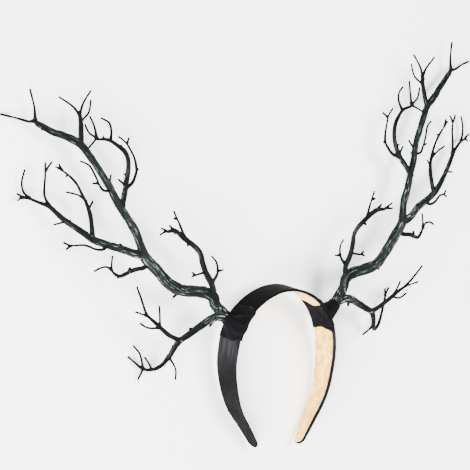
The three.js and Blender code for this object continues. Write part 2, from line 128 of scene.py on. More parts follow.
camera_data = bpy.data.cameras.new("camera")
camera_data.sensor_width = 36
camera_data.lens = camera_data.sensor_width * PIXELS_PER_MM * CAMERA_DISTANCE / PICTURE_PIXELS
camera_data.clip_end = 20
camera = bpy.data.objects.new("camera", camera_data)
bpy.context.scene.collection.objects.link(camera)
axes = Matrix([turn @ right, turn @ up, turn @ -ahead]).transposed()
camera.matrix_world = Matrix.Translation(laid([eye])[0]) @ axes.to_4x4()
bpy.context.scene.camera = camera
over_floor = math.degrees(math.asin(-(turn @ ahead)[2]))
print(f"lens {camera_data.lens:.0f} mm, {over_floor:.0f} degrees over the floor")

# %% [markdown]
# ## Helpers for surfaces
# Real bark, tape and cloth are uneven at every size. Smooth noise gives that unevenness: a value at
# each crossing of a grid, drawn by a fixed rule and blended in between, so that each run is the same.
# Meshes are built from arrays, which is quick for the many corners that a branch has.

# %% Noise and meshes
def noise(points, seed):
    """Smooth noise from -1 to 1 with a grid of one unit. Each use has a seed of its own."""
    points = np.asarray(points, float)
    cell = np.floor(points).astype(np.int64)
    part = points - cell
    part = part * part * (3 - 2 * part)
    total = np.zeros(len(points))
    for corner in range(8):
        step = np.array([corner & 1, corner >> 1 & 1, corner >> 2 & 1])
        mixed = (cell + step) @ np.array([73856093, 19349663, 83492791]) + seed * 6971
        mixed = (mixed ^ (mixed >> 11)) * 668265263 & 0xFFFFFFFF
        mixed = (mixed ^ (mixed >> 15)) * 374761393 & 0xFFFFFFFF
        value = (mixed >> 8 & 0xFFFF) / 32767.5 - 1
        total += value * np.prod(np.where(step, part, 1 - part), axis=1)
    return total


def smoothstep(low, high, x):
    """How far x is from low to high, as a soft step from 0 to 1."""
    share = np.clip((x - low) / (high - low), 0, 1)
    return share * share * (3 - 2 * share)


def mesh_object(name, points, faces):
    """A new smooth object from worn points in millimetres, with all its faces turned outward."""
    mesh = bpy.data.meshes.new(name)
    mesh.from_pydata(laid(points).tolist(), [], faces)
    mesh.validate()
    mesh.polygons.foreach_set("use_smooth", [True] * len(mesh.polygons))
    work = bmesh.new()
    work.from_mesh(mesh)
    bmesh.ops.recalc_face_normals(work, faces=work.faces)
    work.to_mesh(mesh)
    work.free()
    obj = bpy.data.objects.new(name, mesh)
    bpy.context.scene.collection.objects.link(obj)
    return obj


def tube(rings):
    """Corners and faces of a closed tube through rings with the same number of corners."""
    rings = np.asarray(rings)
    count, sides = rings.shape[:2]
    around = np.arange(sides)
    onward = np.roll(around, -1)
    first = np.arange(count - 1)[:, None] * sides
    walls = np.stack([first + around, first + onward, first + sides + onward, first + sides + around], -1)
    faces = walls.reshape(-1, 4).tolist()
    faces.append(around[::-1].tolist())
    faces.append((around + (count - 1) * sides).tolist())
    return rings.reshape(-1, 3), faces


def joined(parts):
    """Corners and faces of several solids as one list."""
    points, faces, start = [], [], 0
    for part_points, part_faces in parts:
        points.append(part_points)
        faces += [[start + i for i in face] for face in part_faces]
        start += len(part_points)
    return np.concatenate(points), faces


def with_modifier(obj, kind, **settings):
    """Applies one modifier to the object."""
    modifier = obj.modifiers.new(kind, kind)
    for key, value in settings.items():
        setattr(modifier, key, value)
    shaped = obj.evaluated_get(bpy.context.evaluated_depsgraph_get())
    mesh = bpy.data.meshes.new_from_object(shaped)
    obj.modifiers.clear()
    old = obj.data
    obj.data = mesh
    bpy.data.meshes.remove(old)


def set_corners(obj, points):
    """Moves the corners of a mesh to worn points in millimetres."""
    obj.data.vertices.foreach_set("co", laid(points).astype(np.float32).ravel())
    obj.data.update()


def set_attribute(obj, name, kind, values):
    """A value for each corner, for the materials to read."""
    attribute = obj.data.attributes.new(name, kind, "POINT")
    field = "vector" if kind == "FLOAT_VECTOR" else "value"
    attribute.data.foreach_set(field, np.asarray(values, np.float32).ravel())


print("helpers are ready")

# %% [markdown]
# ## The shape of the branches
# A branch is moulded in one piece from soft plastic over wire, from a real twig of about 60 cm. Each of
# its limbs is a line through a few stations with a girth at each. The stations are the same as those of
# the solids: out, up and back are thousandths of the branch's reach, rise and sweep, and girth is in
# thousandths of the girth of its trunk. Both branches have the same limbs, as two castings of one mould
# do, apart from the thin ends of the lower bough.

# %% Limbs
Station = namedtuple("Station", "out up back girth")


def limb(*rows):
    """The stations of a limb from root to tip."""
    return [Station(*row) for row in rows]


# The leader starts where the foot ends and climbs to the outermost twigs
LEADER = limb(
    (101, 112, 50, 960), (112, 142, 50, 970), (145, 161, 65, 980), (207, 172, 65, 960),
    (275, 185, 70, 950), (330, 222, 100, 940), (380, 272, 120, 930), (440, 332, 165, 900),
    (452, 372, 200, 740), (468, 418, 250, 720), (498, 470, 295, 710), (520, 515, 330, 700),
    (553, 574, 390, 680), (570, 611, 430, 660), (607, 670, 500, 640), (643, 725, 560, 620),
    (674, 769, 610, 660), (712, 794, 650, 660), (752, 812, 690, 620), (794, 828, 735, 580),
    (830, 853, 775, 540), (861, 875, 810, 480),
)

# The other limbs of both branches, the thick ones first
SIDE_LIMB = limb(
    (430, 327, 165, 700), (495, 346, 200, 700), (549, 366, 235, 680), (605, 386, 265, 640),
    (667, 411, 320, 600), (707, 443, 360, 550), (742, 470, 410, 520), (775, 496, 465, 480),
    (807, 527, 535, 440), (836, 558, 600, 380), (874, 580, 660, 270), (914, 598, 725, 230),
    (945, 600, 755, 160),
)
INNER_BOUGH = limb(
    (108, 135, 30, 560), (113, 189, 60, 550), (140, 234, 80, 540), (156, 274, 100, 500),
    (165, 310, 120, 470), (192, 340, 135, 460), (242, 373, 135, 440), (293, 401, 125, 410),
    (335, 401, 110, 250),
)
LOWER_BOUGH = limb(
    (58, 58, 0, 760), (100, 66, 0, 740), (137, 58, 10, 700), (182, 36, 50, 640),
    (228, 12, 90, 580), (268, -10, 130, 540), (287, -42, 190, 470), (298, -78, 260, 410),
)
ARCH = limb(
    (522, 505, 320, 520), (508, 541, 350, 510), (482, 598, 400, 480), (467, 650, 440, 440),
    (466, 693, 475, 420), (480, 720, 515, 400), (502, 739, 555, 360), (537, 765, 595, 310),
    (594, 775, 630, 210),
)
PLUME = limb(
    (667, 411, 320, 460), (663, 462, 385, 420), (662, 506, 430, 380), (678, 556, 490, 290),
    (695, 587, 520, 240), (716, 624, 540, 220), (747, 658, 565, 200), (782, 686, 590, 170),
    (800, 700, 620, 130),
)
SPIRE = limb(
    (675, 758, 600, 580), (667, 800, 630, 500), (662, 853, 665, 410), (666, 884, 680, 350),
)
SPUR = limb(
    (415, 315, 150, 460), (439, 287, 155, 440), (487, 277, 165, 410), (520, 265, 200, 370),
    (551, 258, 225, 320), (575, 273, 245, 260), (591, 293, 250, 240),
)
BOUGHS = (SIDE_LIMB, INNER_BOUGH, LOWER_BOUGH, ARCH, PLUME, SPIRE, SPUR)

# Twigs of both branches: the two last stations are the bend and the tip
TWIGS = (
    # from the leader, root to tip
    limb((275, 180, 70, 300), (305, 158, 120, 200)),
    limb((490, 462, 288, 400), (485, 485, 300, 240)),
    limb((560, 590, 400, 220), (600, 595, 410, 220), (620, 620, 430, 200), (635, 650, 450, 190),
        (655, 690, 500, 180), (690, 710, 560, 140)),
    limb((620, 620, 430, 180), (650, 622, 480, 130)),
    limb((565, 610, 430, 200), (545, 650, 480, 140)),
    limb((665, 880, 680, 260), (690, 910, 710, 200), (755, 955, 775, 140)),
    limb((665, 880, 680, 260), (650, 920, 670, 200), (610, 970, 660, 140)),
    limb((660, 855, 670, 200), (620, 885, 680, 180), (605, 935, 700, 130)),
    limb((860, 880, 810, 300), (860, 930, 830, 190), (875, 995, 870, 130)),
    limb((860, 880, 810, 340), (885, 880, 830, 250), (940, 895, 910, 180), (1000, 905, 1000, 130)),
    # from the arch
    limb((482, 592, 398, 340), (450, 605, 420, 300), (430, 630, 445, 250), (420, 655, 475, 230),
        (425, 690, 510, 210), (440, 720, 560, 190), (455, 745, 600, 180), (490, 775, 640, 130)),
    limb((452, 742, 600, 170), (430, 765, 650, 130)),
    limb((420, 650, 470, 200), (408, 655, 480, 140)),
    limb((480, 600, 400, 250), (515, 630, 450, 140)),
    limb((530, 765, 590, 240), (520, 800, 630, 200), (525, 830, 650, 180), (560, 855, 700, 130)),
    limb((590, 780, 630, 220), (595, 830, 680, 180), (605, 870, 745, 130)),
    limb((590, 780, 630, 220), (625, 805, 640, 180), (645, 845, 660, 150)),
    limb((590, 780, 630, 200), (645, 750, 580, 140)),
    # from the side limb
    limb((550, 370, 230, 400), (550, 390, 220, 200)),
    limb((765, 495, 460, 220), (825, 485, 540, 150)),
    limb((832, 557, 596, 280), (845, 600, 650, 220), (840, 670, 655, 180), (845, 720, 620, 130)),
    limb((840, 685, 650, 170), (810, 720, 620, 130)),
    limb((906, 597, 717, 220), (925, 620, 770, 200), (930, 655, 790, 180), (915, 700, 785, 130)),
    limb((935, 605, 750, 170), (962, 620, 770, 130)),
    limb((935, 605, 750, 170), (958, 590, 770, 130)),
    limb((600, 385, 260, 270), (630, 372, 250, 240), (660, 375, 270, 220), (705, 395, 340, 200),
        (755, 400, 460, 170), (780, 415, 530, 130)),
    limb((750, 400, 450, 170), (775, 385, 490, 130)),
    # from the plume
    limb((667, 528, 456, 200), (645, 560, 445, 130)),
    limb((675, 555, 490, 220), (710, 580, 490, 180), (770, 600, 530, 130)),
    limb((771, 678, 580, 160), (785, 710, 600, 130)),
    # from the spur
    limb((588, 285, 250, 240), (588, 310, 245, 170), (585, 345, 235, 130)),
    limb((585, 290, 250, 240), (610, 303, 260, 190), (637, 302, 280, 160), (665, 290, 320, 130)),
    limb((510, 270, 180, 300), (510, 292, 170, 150)),
    # from the inner bough
    limb((115, 195, 60, 300), (85, 230, 55, 230), (85, 270, 80, 200), (110, 300, 110, 130)),
    limb((82, 238, 60, 200), (50, 240, 60, 140)),
    limb((145, 240, 80, 240), (200, 230, 65, 190), (220, 225, 60, 140)),
    limb((195, 230, 65, 170), (215, 245, 75, 130)),
    limb((215, 360, 130, 300), (235, 345, 110, 170)),
    limb((240, 375, 130, 250), (260, 420, 150, 200), (290, 475, 160, 130)),
    limb((272, 443, 155, 170), (292, 445, 155, 130)),
    limb((290, 400, 125, 280), (320, 425, 130, 140)),
    limb((335, 405, 110, 200), (370, 425, 85, 130)),
    limb((335, 405, 110, 180), (375, 400, 85, 130)),
    # from the lower bough
    limb((120, 60, 0, 340), (127, 28, 60, 170)),
    limb((200, 28, 70, 340), (222, 35, 130, 170)),
)

# The thin ends of the lower bough are bent by hand. On the left the upper end stands up and the lower
# one runs flat, and on the right the upper end lies flatter and the lower one curls up behind it.
BENT_ENDS = {
    "left": (
        limb((262, -8, 130, 430), (315, 18, 120, 410), (372, 55, 105, 370), (408, 80, 115, 310),
            (438, 105, 130, 260), (463, 145, 95, 210), (482, 185, 65, 180), (500, 220, 35, 130)),
        limb((372, 55, 105, 200), (380, 85, 80, 170), (388, 140, 60, 130)),
        limb((372, 52, 105, 200), (425, 55, 170, 170), (462, 75, 200, 130)),
        limb((438, 100, 130, 180), (503, 125, 100, 130)),
        limb((295, -67, 250, 410), (325, -98, 300, 360), (368, -112, 340, 300), (402, -106, 400, 250),
            (435, -80, 450, 200), (463, -52, 510, 130)),
        limb((368, -112, 340, 190), (390, -80, 330, 170), (412, -55, 320, 130)),
        limb((402, -105, 400, 200), (415, -48, 425, 170), (443, -12, 470, 130)),
        limb((402, -106, 400, 190), (426, -147, 425, 130)),
        limb((295, -72, 260, 200), (268, -118, 235, 170), (256, -166, 300, 130)),
    ),
    "right": (
        limb((262, -8, 130, 430), (318, 8, 120, 410), (380, 34, 105, 370), (418, 50, 115, 310),
            (455, 65, 130, 260), (483, 90, 95, 210), (510, 120, 65, 180), (540, 152, 35, 130)),
        limb((380, 34, 105, 200), (400, 60, 80, 170), (420, 96, 60, 130)),
        limb((380, 34, 105, 200), (440, 22, 170, 170), (486, 38, 200, 130)),
        limb((455, 65, 130, 180), (530, 85, 100, 130)),
        limb((295, -67, 250, 390), (312, -86, 300, 340), (333, -76, 320, 290), (366, -38, 360, 260),
            (394, 2, 400, 230), (424, 36, 470, 180), (455, 53, 550, 130)),
        limb((412, 25, 440, 170), (405, 58, 420, 130)),
        limb((295, -72, 260, 200), (256, -108, 320, 130)),
    ),
}
print("limbs of a branch:", 1 + len(BOUGHS) + len(TWIGS), "and its bent ends")

# %% [markdown]
# The foot of a branch sits on the outside of the hoop, two thirds of the way up. The way along the hoop
# is half an ellipse over the crown, an arc down each side and a straight leg to each tip, as in the
# solids. A real band isn't so even. Its legs spring out, its crown leans forward and one leg ends lower
# than the other, so the band, the lining and the tape follow a line that strays a little from it. In the
# code a side is -1 on the left and 1 on the right, and a way along the hoop starts at the tip.

# %% The line of the hoop
FOOT_ALONG = 119.5
FOOT_FORWARD = 7.0
FOOT_LENGTH = 17.0
FOOT_LIFT = math.radians(50)
HOOP_STEPS = 400

bend_middle = HOOP_WIDTH / 2 - LEG_BEND
bend_foot = np.array([
    bend_middle + LEG_BEND * math.cos(LEG_LEAN),
    SHOULDER_HEIGHT - LEG_BEND * math.sin(LEG_LEAN),
])
leg = np.linspace(0, LEG_STRAIGHT, HOOP_STEPS)[:, None] * [math.sin(LEG_LEAN), math.cos(LEG_LEAN)]
leg += bend_foot - leg[-1]
sweep = np.linspace(-LEG_LEAN, 0, HOOP_STEPS)
arc = np.stack([bend_middle + LEG_BEND * np.cos(sweep), SHOULDER_HEIGHT + LEG_BEND * np.sin(sweep)], 1)
sweep = np.linspace(0, math.pi / 2, 2 * HOOP_STEPS)
crown = np.stack([HOOP_WIDTH / 2 * np.cos(sweep), SHOULDER_HEIGHT + CROWN_HEIGHT * np.sin(sweep)], 1)
half_hoop = np.concatenate([leg, arc[1:], crown[1:]])
half_along = np.append(0, np.cumsum(np.hypot(*np.diff(half_hoop, axis=0).T)))
HALF_LENGTH = half_along[-1]


# How far a real band strays from the even line, in millimetres and degrees, by the way from a tip:
# its lower legs spring outward, its crown leans forward, and its front edge turns out or in
STRAYS = np.array([
    # along, outward, forward, turned
    (0, -0.6, 0.6, 2), (25, 0.9, 0.6, 2), (40, 2.2, 0.6, 1), (55, 2.1, 0.8, 0), (70, 1.3, 0.8, 0),
    (87, 0.8, 1.1, 0), (104, -0.2, 1.9, -1), (120, 0, 2.1, -2), (140, -0.3, 3, -4),
    (165, -0.5, 4.2, -5), (190, -0.5, 4.2, -5),
])
OUTWARD, FORWARD, TURNED = 1, 2, 3
UNEVEN_LEGS = 1.9
UNEVEN_FROM = 100.0


def plain_hoop(along, side):
    """Points on the outside of the even hoop and the ways out of it, by the way from a tip."""
    place = [np.interp(along, half_along, half_hoop[:, i]) for i in (0, 1)]
    slope = [np.interp(along, half_along, np.gradient(half_hoop[:, i], half_along)) for i in (0, 1)]
    length = np.hypot(*slope)
    zero = np.zeros(len(along))
    points = np.stack([side * place[0], zero, place[1]], 1)
    out = np.stack([side * slope[1], zero, -slope[0]], 1) / length[:, None]
    return points, out


def eased(table, column, x):
    """A column of a table by its first column, on a smooth curve through the rows."""
    at, value = table[:, 0], table[:, column]
    slope = np.gradient(value, at)
    row = np.clip(np.searchsorted(at, x, "right") - 1, 0, len(at) - 2)
    width = at[row + 1] - at[row]
    t = np.clip((x - at[row]) / width, 0, 1)
    return (value[row] * (1 + 2 * t) * (1 - t)**2 + value[row + 1] * (3 - 2 * t) * t**2
            + width * t * (1 - t) * (slope[row] * (1 - t) - slope[row + 1] * t))


def on_hoop(along, side, across=0.0, height=0.0):
    """Points of the real band by the way along it, across it to the back, and the height over it."""
    along, across, height = np.broadcast_arrays(np.atleast_1d(along).astype(float), across, height)
    side = np.broadcast_to(side, along.shape)
    points, out = plain_hoop(along.ravel(), side.ravel())
    points, out = points.reshape(*along.shape, 3), out.reshape(*along.shape, 3)
    turned = np.radians(eased(STRAYS, TURNED, along))
    over = eased(STRAYS, OUTWARD, along) + height * np.cos(turned) - across * np.sin(turned)
    to_back = across * np.cos(turned) + height * np.sin(turned) - eased(STRAYS, FORWARD, along)
    longer = side * UNEVEN_LEGS * (1 - smoothstep(0, UNEVEN_FROM, along))
    return points + out * over[..., None] + np.stack([0 * along, to_back, -longer], -1)


print(f"half of the hoop is {HALF_LENGTH:.1f} mm long")

# %% [markdown]
# ## Bark in plastic
# A moulded branch has round limbs that taper, knots where twigs leave, shallow grooves along the grain
# and a slight wander, and it flows together at each fork. Tubes alone would meet in hard creases. So
# each limb is a tube first. All tubes are fused by a voxel remesh, as if cast in one mould, and then
# every corner is set back to the exact girth of the limb that it lies on, with the grooves cut in. Near
# a fork the fused surface is kept, so that limbs run into each other. Such branches are bent by hand when
# they are packed, so the two of a pair stray from mirror images by a few millimetres. That is one smooth
# sway of the whole branch, so that each twig stays on its bough.

# %% Sizes of the branches
BRANCH_REACH = 230.0
BRANCH_RISE = 230.0
BRANCH_SWEEP = 47.0
BRANCH_GIRTH = 10.6
BRANCH_FLATNESS = 0.74
TWIG_FLATNESS = 0.9
THINNEST_TWIG = 1.85
LIMB_STEP = 1.1
VOXEL = 0.68
WANDER = 0.32
WANDER_LENGTH = 13.0
UNEVEN_GIRTH = 0.07
FLAT_FROM_TO = (2, 6)
LEAST_GAP = 0.001
GROOVE_DEPTH = 0.11
GROOVE_WIDTH = 1.7
GROOVE_LENGTH = 24.0
FINE_GRAIN = (2.1, 2.1, 2.6)
LUMP_SIZE = 4.2
RIDGE_SHARE, FINE_SHARE, LUMP_SHARE = 0.62, 0.25, 0.35
KNOT_SWELL = 0.55
KNOT_LENGTH = 2.6
SWAY_REACH = 0.06
SWAY_HOLD = 0.15

# How the two branches stray from mirror images: a place out and up in shares of a branch's reach and
# rise, and the way it is moved out and up in millimetres
SWAY = {
    -1: np.array([
        (0.10, 0.11, -1.2, 0.8), (0.22, 0.17, 0, 1.6), (0.35, 0.24, -0.3, 0.3), (0.45, 0.35, -0.8, 0.6),
        (0.48, 0.44, -2.4, 0.2), (0.55, 0.56, -1.2, -0.1), (0.63, 0.71, -1, 0.4), (0.67, 0.78, 0, 0),
        (0.80, 0.83, 0, -0.3), (0.88, 0.88, 0, -2.7), (0.46, 0.75, -2.7, 2.6), (0.49, 0.58, 2.2, 0.2),
        (0.56, 0.77, 0, 2.7), (0.43, 0.77, -1.5, 3.7), (0.42, 0.67, 0, 0.9), (0.52, 0.35, -0.6, 1.7),
        (0.64, 0.40, -0.6, 1.7), (0.77, 0.49, -0.6, 0.8), (0.92, 0.60, 0, -2.7), (0.80, 0.49, 0, -1.4),
        (0.71, 0.61, -2.4, 0.7), (0.51, 0.28, 0, 3.6), (0.64, 0.30, 0, 1.4), (0.18, 0.33, -1.8, 1.6),
        (0.30, 0.41, 0, 4.1), (0.29, 0.47, 0, 5.4), (0.14, 0.24, -1.2, 0.8), (0.21, 0.24, 0, 2.7),
        (0.08, 0.24, 0, 1.4), (0.45, 0.12, -1.8, 1.6),
    ]),
    1: np.array([
        (0.11, 0.13, 0, 0), (0.19, 0.17, 0.6, -1.9), (0.32, 0.21, 2.4, -1.1), (0.41, 0.30, 2.4, -0.7),
        (0.45, 0.35, 1.8, -0.2), (0.49, 0.46, 3.1, -0.3), (0.54, 0.55, 1.8, -1.1), (0.63, 0.70, 0.6, -0.1),
        (0.68, 0.78, 1.2, -0.6), (0.83, 0.85, -2.8, 3.6), (0.86, 0.90, -0.9, 5), (0.95, 0.90, 0, 3.9),
        (0.87, 0.99, -0.5, 4.5), (0.61, 0.98, -0.8, 3.6), (0.66, 0.90, 0, 1.5),
        (0.60, 0.38, -2.4, 3), (0.77, 0.49, -3.7, 1.7), (0.89, 0.59, -3.1, 1.7), (0.93, 0.63, -1.8, 2.9),
        (0.69, 0.39, -1.8, 3.8), (0.66, 0.52, 0, 0), (0.17, 0.31, 1.8, -0.6), (0.24, 0.37, 1.2, -1.5),
        (0.35, 0.40, 2.4, -2.1), (0.14, 0.23, 0.6, -0.1), (0.39, -0.01, -0.6, 1.4), (0.40, 0.06, 0, 1.8),
        (0.36, -0.05, 3.7, -1.3), (0.46, 0.60, -1.8, -1.6), (0.52, 0.75, 0.6, -0.1),
    ]),
}

branch_turn = math.atan2(BRANCH_SWEEP, BRANCH_REACH)


def foot_of(side):
    """Where the axis of a branch starts on the hoop."""
    return plain_hoop(np.array([FOOT_ALONG]), side)[0][0] - [0, FOOT_FORWARD, 0]


def worn_stations(rows, side):
    """The points and girths of a limb's stations in millimetres."""
    rows = np.array(rows) / 1000
    way = rows[:, [0, 2, 1]] * [side * BRANCH_REACH, BRANCH_SWEEP, BRANCH_RISE]
    return foot_of(side) + way, rows[:, 3] * BRANCH_GIRTH


def sway_of(points, side):
    """How far one branch strays from a mirror image of the other at some places."""
    table = SWAY[side]
    place = (points - foot_of(side)) / [side * BRANCH_REACH, 1, BRANCH_RISE]
    pull = np.exp(-((place[:, None, ::2] - table[None, :, :2])**2).sum(2) / SWAY_REACH**2)
    return pull @ (table[:, 2:] @ [[side, 0, 0], [0, 0, 1]]) / (pull.sum(1) + SWAY_HOLD)[:, None]


def smooth_line(points, girths):
    """A smooth line through the stations with a corner each step, and its girth at each corner."""
    ends = np.concatenate([[2 * points[0] - points[1]], points, [2 * points[-1] - points[-2]]])
    line, widths = [], []
    for i in range(len(points) - 1):
        before, start, end, after = ends[i:i + 4]
        pairs = (before, start), (start, end), (end, after)
        gaps = [max(math.sqrt(np.linalg.norm(q - p)), LEAST_GAP) for p, q in pairs]
        leave = (start - before) / gaps[0] - (end - before) / (gaps[0] + gaps[1]) + (end - start) / gaps[1]
        reach = (end - start) / gaps[1] - (after - start) / (gaps[1] + gaps[2]) + (after - end) / gaps[2]
        count = max(2, round(np.linalg.norm(end - start) / LIMB_STEP))
        t = np.linspace(0, 1, count, endpoint=i == len(points) - 2)[:, None]
        line.append((2 * t**3 - 3 * t**2 + 1) * start + (t**3 - 2 * t**2 + t) * leave * gaps[1]
                    + (3 * t**2 - 2 * t**3) * end + (t**3 - t**2) * reach * gaps[1])
        widths.append(girths[i] + (girths[i + 1] - girths[i]) * t[:, 0])
    return np.concatenate(line), np.concatenate(widths)


Limb = namedtuple("Limb", "line along way flank face wide thick")


def shaped_limb(points, girths, side, seed, rooted, sways=True):
    """A limb with its wander, its knot at the root and a frame at each corner of its line."""
    line, girth = smooth_line(points, girths)
    if sways:
        line = line + sway_of(line, side)
    along = np.append(0, np.cumsum(np.linalg.norm(np.diff(line, axis=0), axis=1)))
    way = np.gradient(line, along, axis=0)
    way /= np.linalg.norm(way, axis=1)[:, None]
    front = np.array([side * math.sin(branch_turn), -math.cos(branch_turn), 0])
    flank = np.cross(front, way)
    flank /= np.linalg.norm(flank, axis=1)[:, None]
    face = np.cross(flank, way)
    free = smoothstep(0, WANDER_LENGTH, along) * WANDER
    drift = np.stack([along / WANDER_LENGTH, 0 * along + 0.5, 0 * along + 0.5], 1)
    for way_out, number in ((flank, seed), (face, seed + 1)):
        line = line + way_out * (noise(drift, number) * free)[:, None]
    girth = np.maximum(girth, THINNEST_TWIG) * (1 + UNEVEN_GIRTH * noise(drift * 2.4, seed + 2))
    if rooted:
        girth = girth * (1 + KNOT_SWELL * np.exp(-(along / KNOT_LENGTH)**2))
    flat = TWIG_FLATNESS + (BRANCH_FLATNESS - TWIG_FLATNESS) * smoothstep(*FLAT_FROM_TO, girth)
    return Limb(line, along, way, flank, face, girth / 2, girth / 2 * flat)


def limb_tube(limb):
    """The tube of a limb, with a blunt tip and more sides where it is thick."""
    sides = 10 + 2 * round(min(limb.wide.max(), 6) / 1.2)
    turns = np.arange(sides) * 2 * math.pi / sides
    to_tip = np.clip((limb.along[-1] - limb.along) / limb.wide[-1], 0, 1)
    shrink = np.sqrt(np.clip(1 - (1 - to_tip)**2, 0.04, 1))
    rings = (limb.line[:, None]
             + limb.flank[:, None] * (np.cos(turns)[:, None] * (limb.wide * shrink)[:, None, None])
             + limb.face[:, None] * (np.sin(turns)[:, None] * (limb.thick * shrink)[:, None, None]))
    return tube(rings)


def limbs_of(side):
    """All limbs of one branch, the trunk first."""
    foot = foot_of(side)
    lift = np.array([side * math.cos(FOOT_LIFT), 0, math.sin(FOOT_LIFT)])
    trunk_points, trunk_girths = worn_stations(LEADER, side)
    foot_points = np.array([foot - lift * BRANCH_GIRTH / 2, foot, foot + lift * FOOT_LENGTH])
    trunk = shaped_limb(
        np.concatenate([foot_points, trunk_points]),
        np.append([BRANCH_GIRTH] * len(foot_points), trunk_girths), side, 11, False)
    rows = [*BOUGHS, *TWIGS, *BENT_ENDS["left" if side < 0 else "right"]]
    return [trunk] + [
        shaped_limb(*worn_stations(table, side), side, 20 + 7 * i, i >= len(BOUGHS))
        for i, table in enumerate(rows)
    ]


limbs = {side: limbs_of(side) for side in (-1, 1)}
for side, rows in limbs.items():
    print(f"side {side}: {len(rows)} limbs, {sum(limb.along[-1] for limb in rows) / 1000:.2f} m in all")

# %% [markdown]
# The foot of the trunk ends on the band, so its tube is cut by a block that follows the hoop. After the
# remesh each corner finds the limb whose surface is nearest. Its angle round that limb and its way along
# it give the grooves, and both are kept on the mesh, so that the paint can follow the grain.

# %% Branches
# The fused skin: the gap at the foot, the steps that even it out, and how near a corner has to lie to
# one limb, and how far from the next, to be set back to its girth
FOOT_GAP = 0.35
SMOOTHING_IN = 0.5
SMOOTHING_BACK = -0.53
BARK_ROUNDS = 6
SNAP_REACH = 0.75
FORK_REACH = 1.3
FAR = 9.0
NEAR_LIMB = 2.5
FOOT_BLOCK = (FOOT_ALONG - 30, FOOT_ALONG + 30)
FOOT_BLOCK_DEPTH = -12

# The grain: shifted from limb to limb, so that no two are alike, and shortened along the limb
GRAIN_SHIFT = 37.0
GRAIN_STRETCH = 0.16
DEEPEST_GIRTH = 5.0

# Stubs of broken twigs
SPIKE_EVERY = 26.0
SPIKE_SCATTER = 8.0
SPIKE_LENGTH = 2.6
SPIKE_TO_FACE = 0.7
SPIKE_TILT = 0.35
SPIKE_ROOT = 0.55
SPIKE_COVERED = 0.45
SPIKE_GIRTHS = (2.3, 1.9, THINNEST_TWIG)
SPIKE_SEEDS = {-1: 5, 1: 6}


def hoop_block(along_low, along_high, side, high, low, half):
    """A block that follows the hoop, from low to high out of it and half to each way across it."""
    along = np.linspace(along_low, along_high, 60)[:, None]
    across, height = np.array([(-half, high), (half, high), (half, low), (-half, low)]).T
    return tube(on_hoop(along, side, across, height))


def cut(obj, points, faces):
    """Cuts a solid, given as corners and faces, out of the object."""
    tool = mesh_object("tool", points, faces)
    with_modifier(obj, "BOOLEAN", object=tool, operation="DIFFERENCE", solver="EXACT")
    bpy.data.objects.remove(tool)


def fused(obj, others, voxel, rounds):
    """Makes one skin of some objects and gives its corners, evened out without shrinking, as worn."""
    with bpy.context.temp_override(active_object=obj, selected_editable_objects=[obj, *others]):
        bpy.ops.object.join()
    with_modifier(obj, "REMESH", mode="VOXEL", voxel_size=voxel * MM, use_smooth_shade=True)
    points = corners_of(obj) @ turn - worn_origin
    edges = np.empty(2 * len(obj.data.edges), np.int64)
    obj.data.edges.foreach_get("vertices", edges)
    edges = edges.reshape(-1, 2)
    counts = np.bincount(edges.ravel(), minlength=len(points))[:, None]
    for _ in range(rounds):
        for step in (SMOOTHING_IN, SMOOTHING_BACK):
            total = np.zeros_like(points)
            for i in range(3):
                for end in (0, 1):
                    total[:, i] += np.bincount(edges[:, end], points[edges[:, 1 - end], i], len(points))
            points = points + step * (total / counts - points)
    return points


def grain_of(points, parts):
    """For each corner the nearest limb's surface, the gap to it and to the next limb, and its grain."""
    count = len(points)
    gap, next_gap = np.full(count, FAR), np.full(count, FAR)
    centre, girth = points.copy(), np.ones(count)
    grain = np.zeros((count, 3))
    for number, limb in enumerate(parts):
        margin = limb.wide.max() + NEAR_LIMB
        low, high = limb.line.min(0) - margin, limb.line.max(0) + margin
        near = np.flatnonzero(np.all((points > low) & (points < high), axis=1))
        if not len(near):
            continue
        here = points[near]
        squares = (limb.line**2).sum(1) - 2 * here @ limb.line.T
        best = squares.argmin(1)
        step = np.clip(((here - limb.line[best]) * limb.way[best]).sum(1), -LIMB_STEP, LIMB_STEP)
        middle = limb.line[best] + limb.way[best] * step[:, None]
        arm = here - middle
        across, rise = (arm * limb.flank[best]).sum(1), (arm * limb.face[best]).sum(1)
        angle = np.arctan2(rise / limb.thick[best], across / limb.wide[best])
        edge = np.hypot(limb.wide[best] * np.cos(angle), limb.thick[best] * np.sin(angle))
        past = np.abs((arm * limb.way[best]).sum(1))
        over = np.hypot(across, rise) - edge
        found = np.hypot(over, past) * np.sign(over)
        closer = found < gap[near]
        next_gap[near] = np.where(closer, gap[near], np.minimum(next_gap[near], found))
        chosen = near[closer]
        gap[chosen] = found[closer]
        centre[chosen] = middle[closer]
        girth[chosen] = edge[closer]
        angle, edge, along = angle[closer], edge[closer], limb.along[best][closer] + GRAIN_SHIFT * number
        grain[chosen] = np.stack([np.cos(angle) * edge, np.sin(angle) * edge, along], 1)
    return gap, next_gap, centre, girth, grain


def groove_height(grain):
    """Height of the bark from -1 in a groove to 1 on a ridge: long ridges, a fine grain and lumps."""
    scale = np.array([1 / GROOVE_WIDTH, 1 / GROOVE_WIDTH, 1 / GROOVE_LENGTH])
    ridges = 1 - 2.4 * np.abs(noise(grain * scale, 3))
    fine = noise(grain * scale * FINE_GRAIN, 5)
    lumps = noise(grain / LUMP_SIZE, 9)
    return np.clip(RIDGE_SHARE * ridges + FINE_SHARE * fine + LUMP_SHARE * lumps, -1, 1)


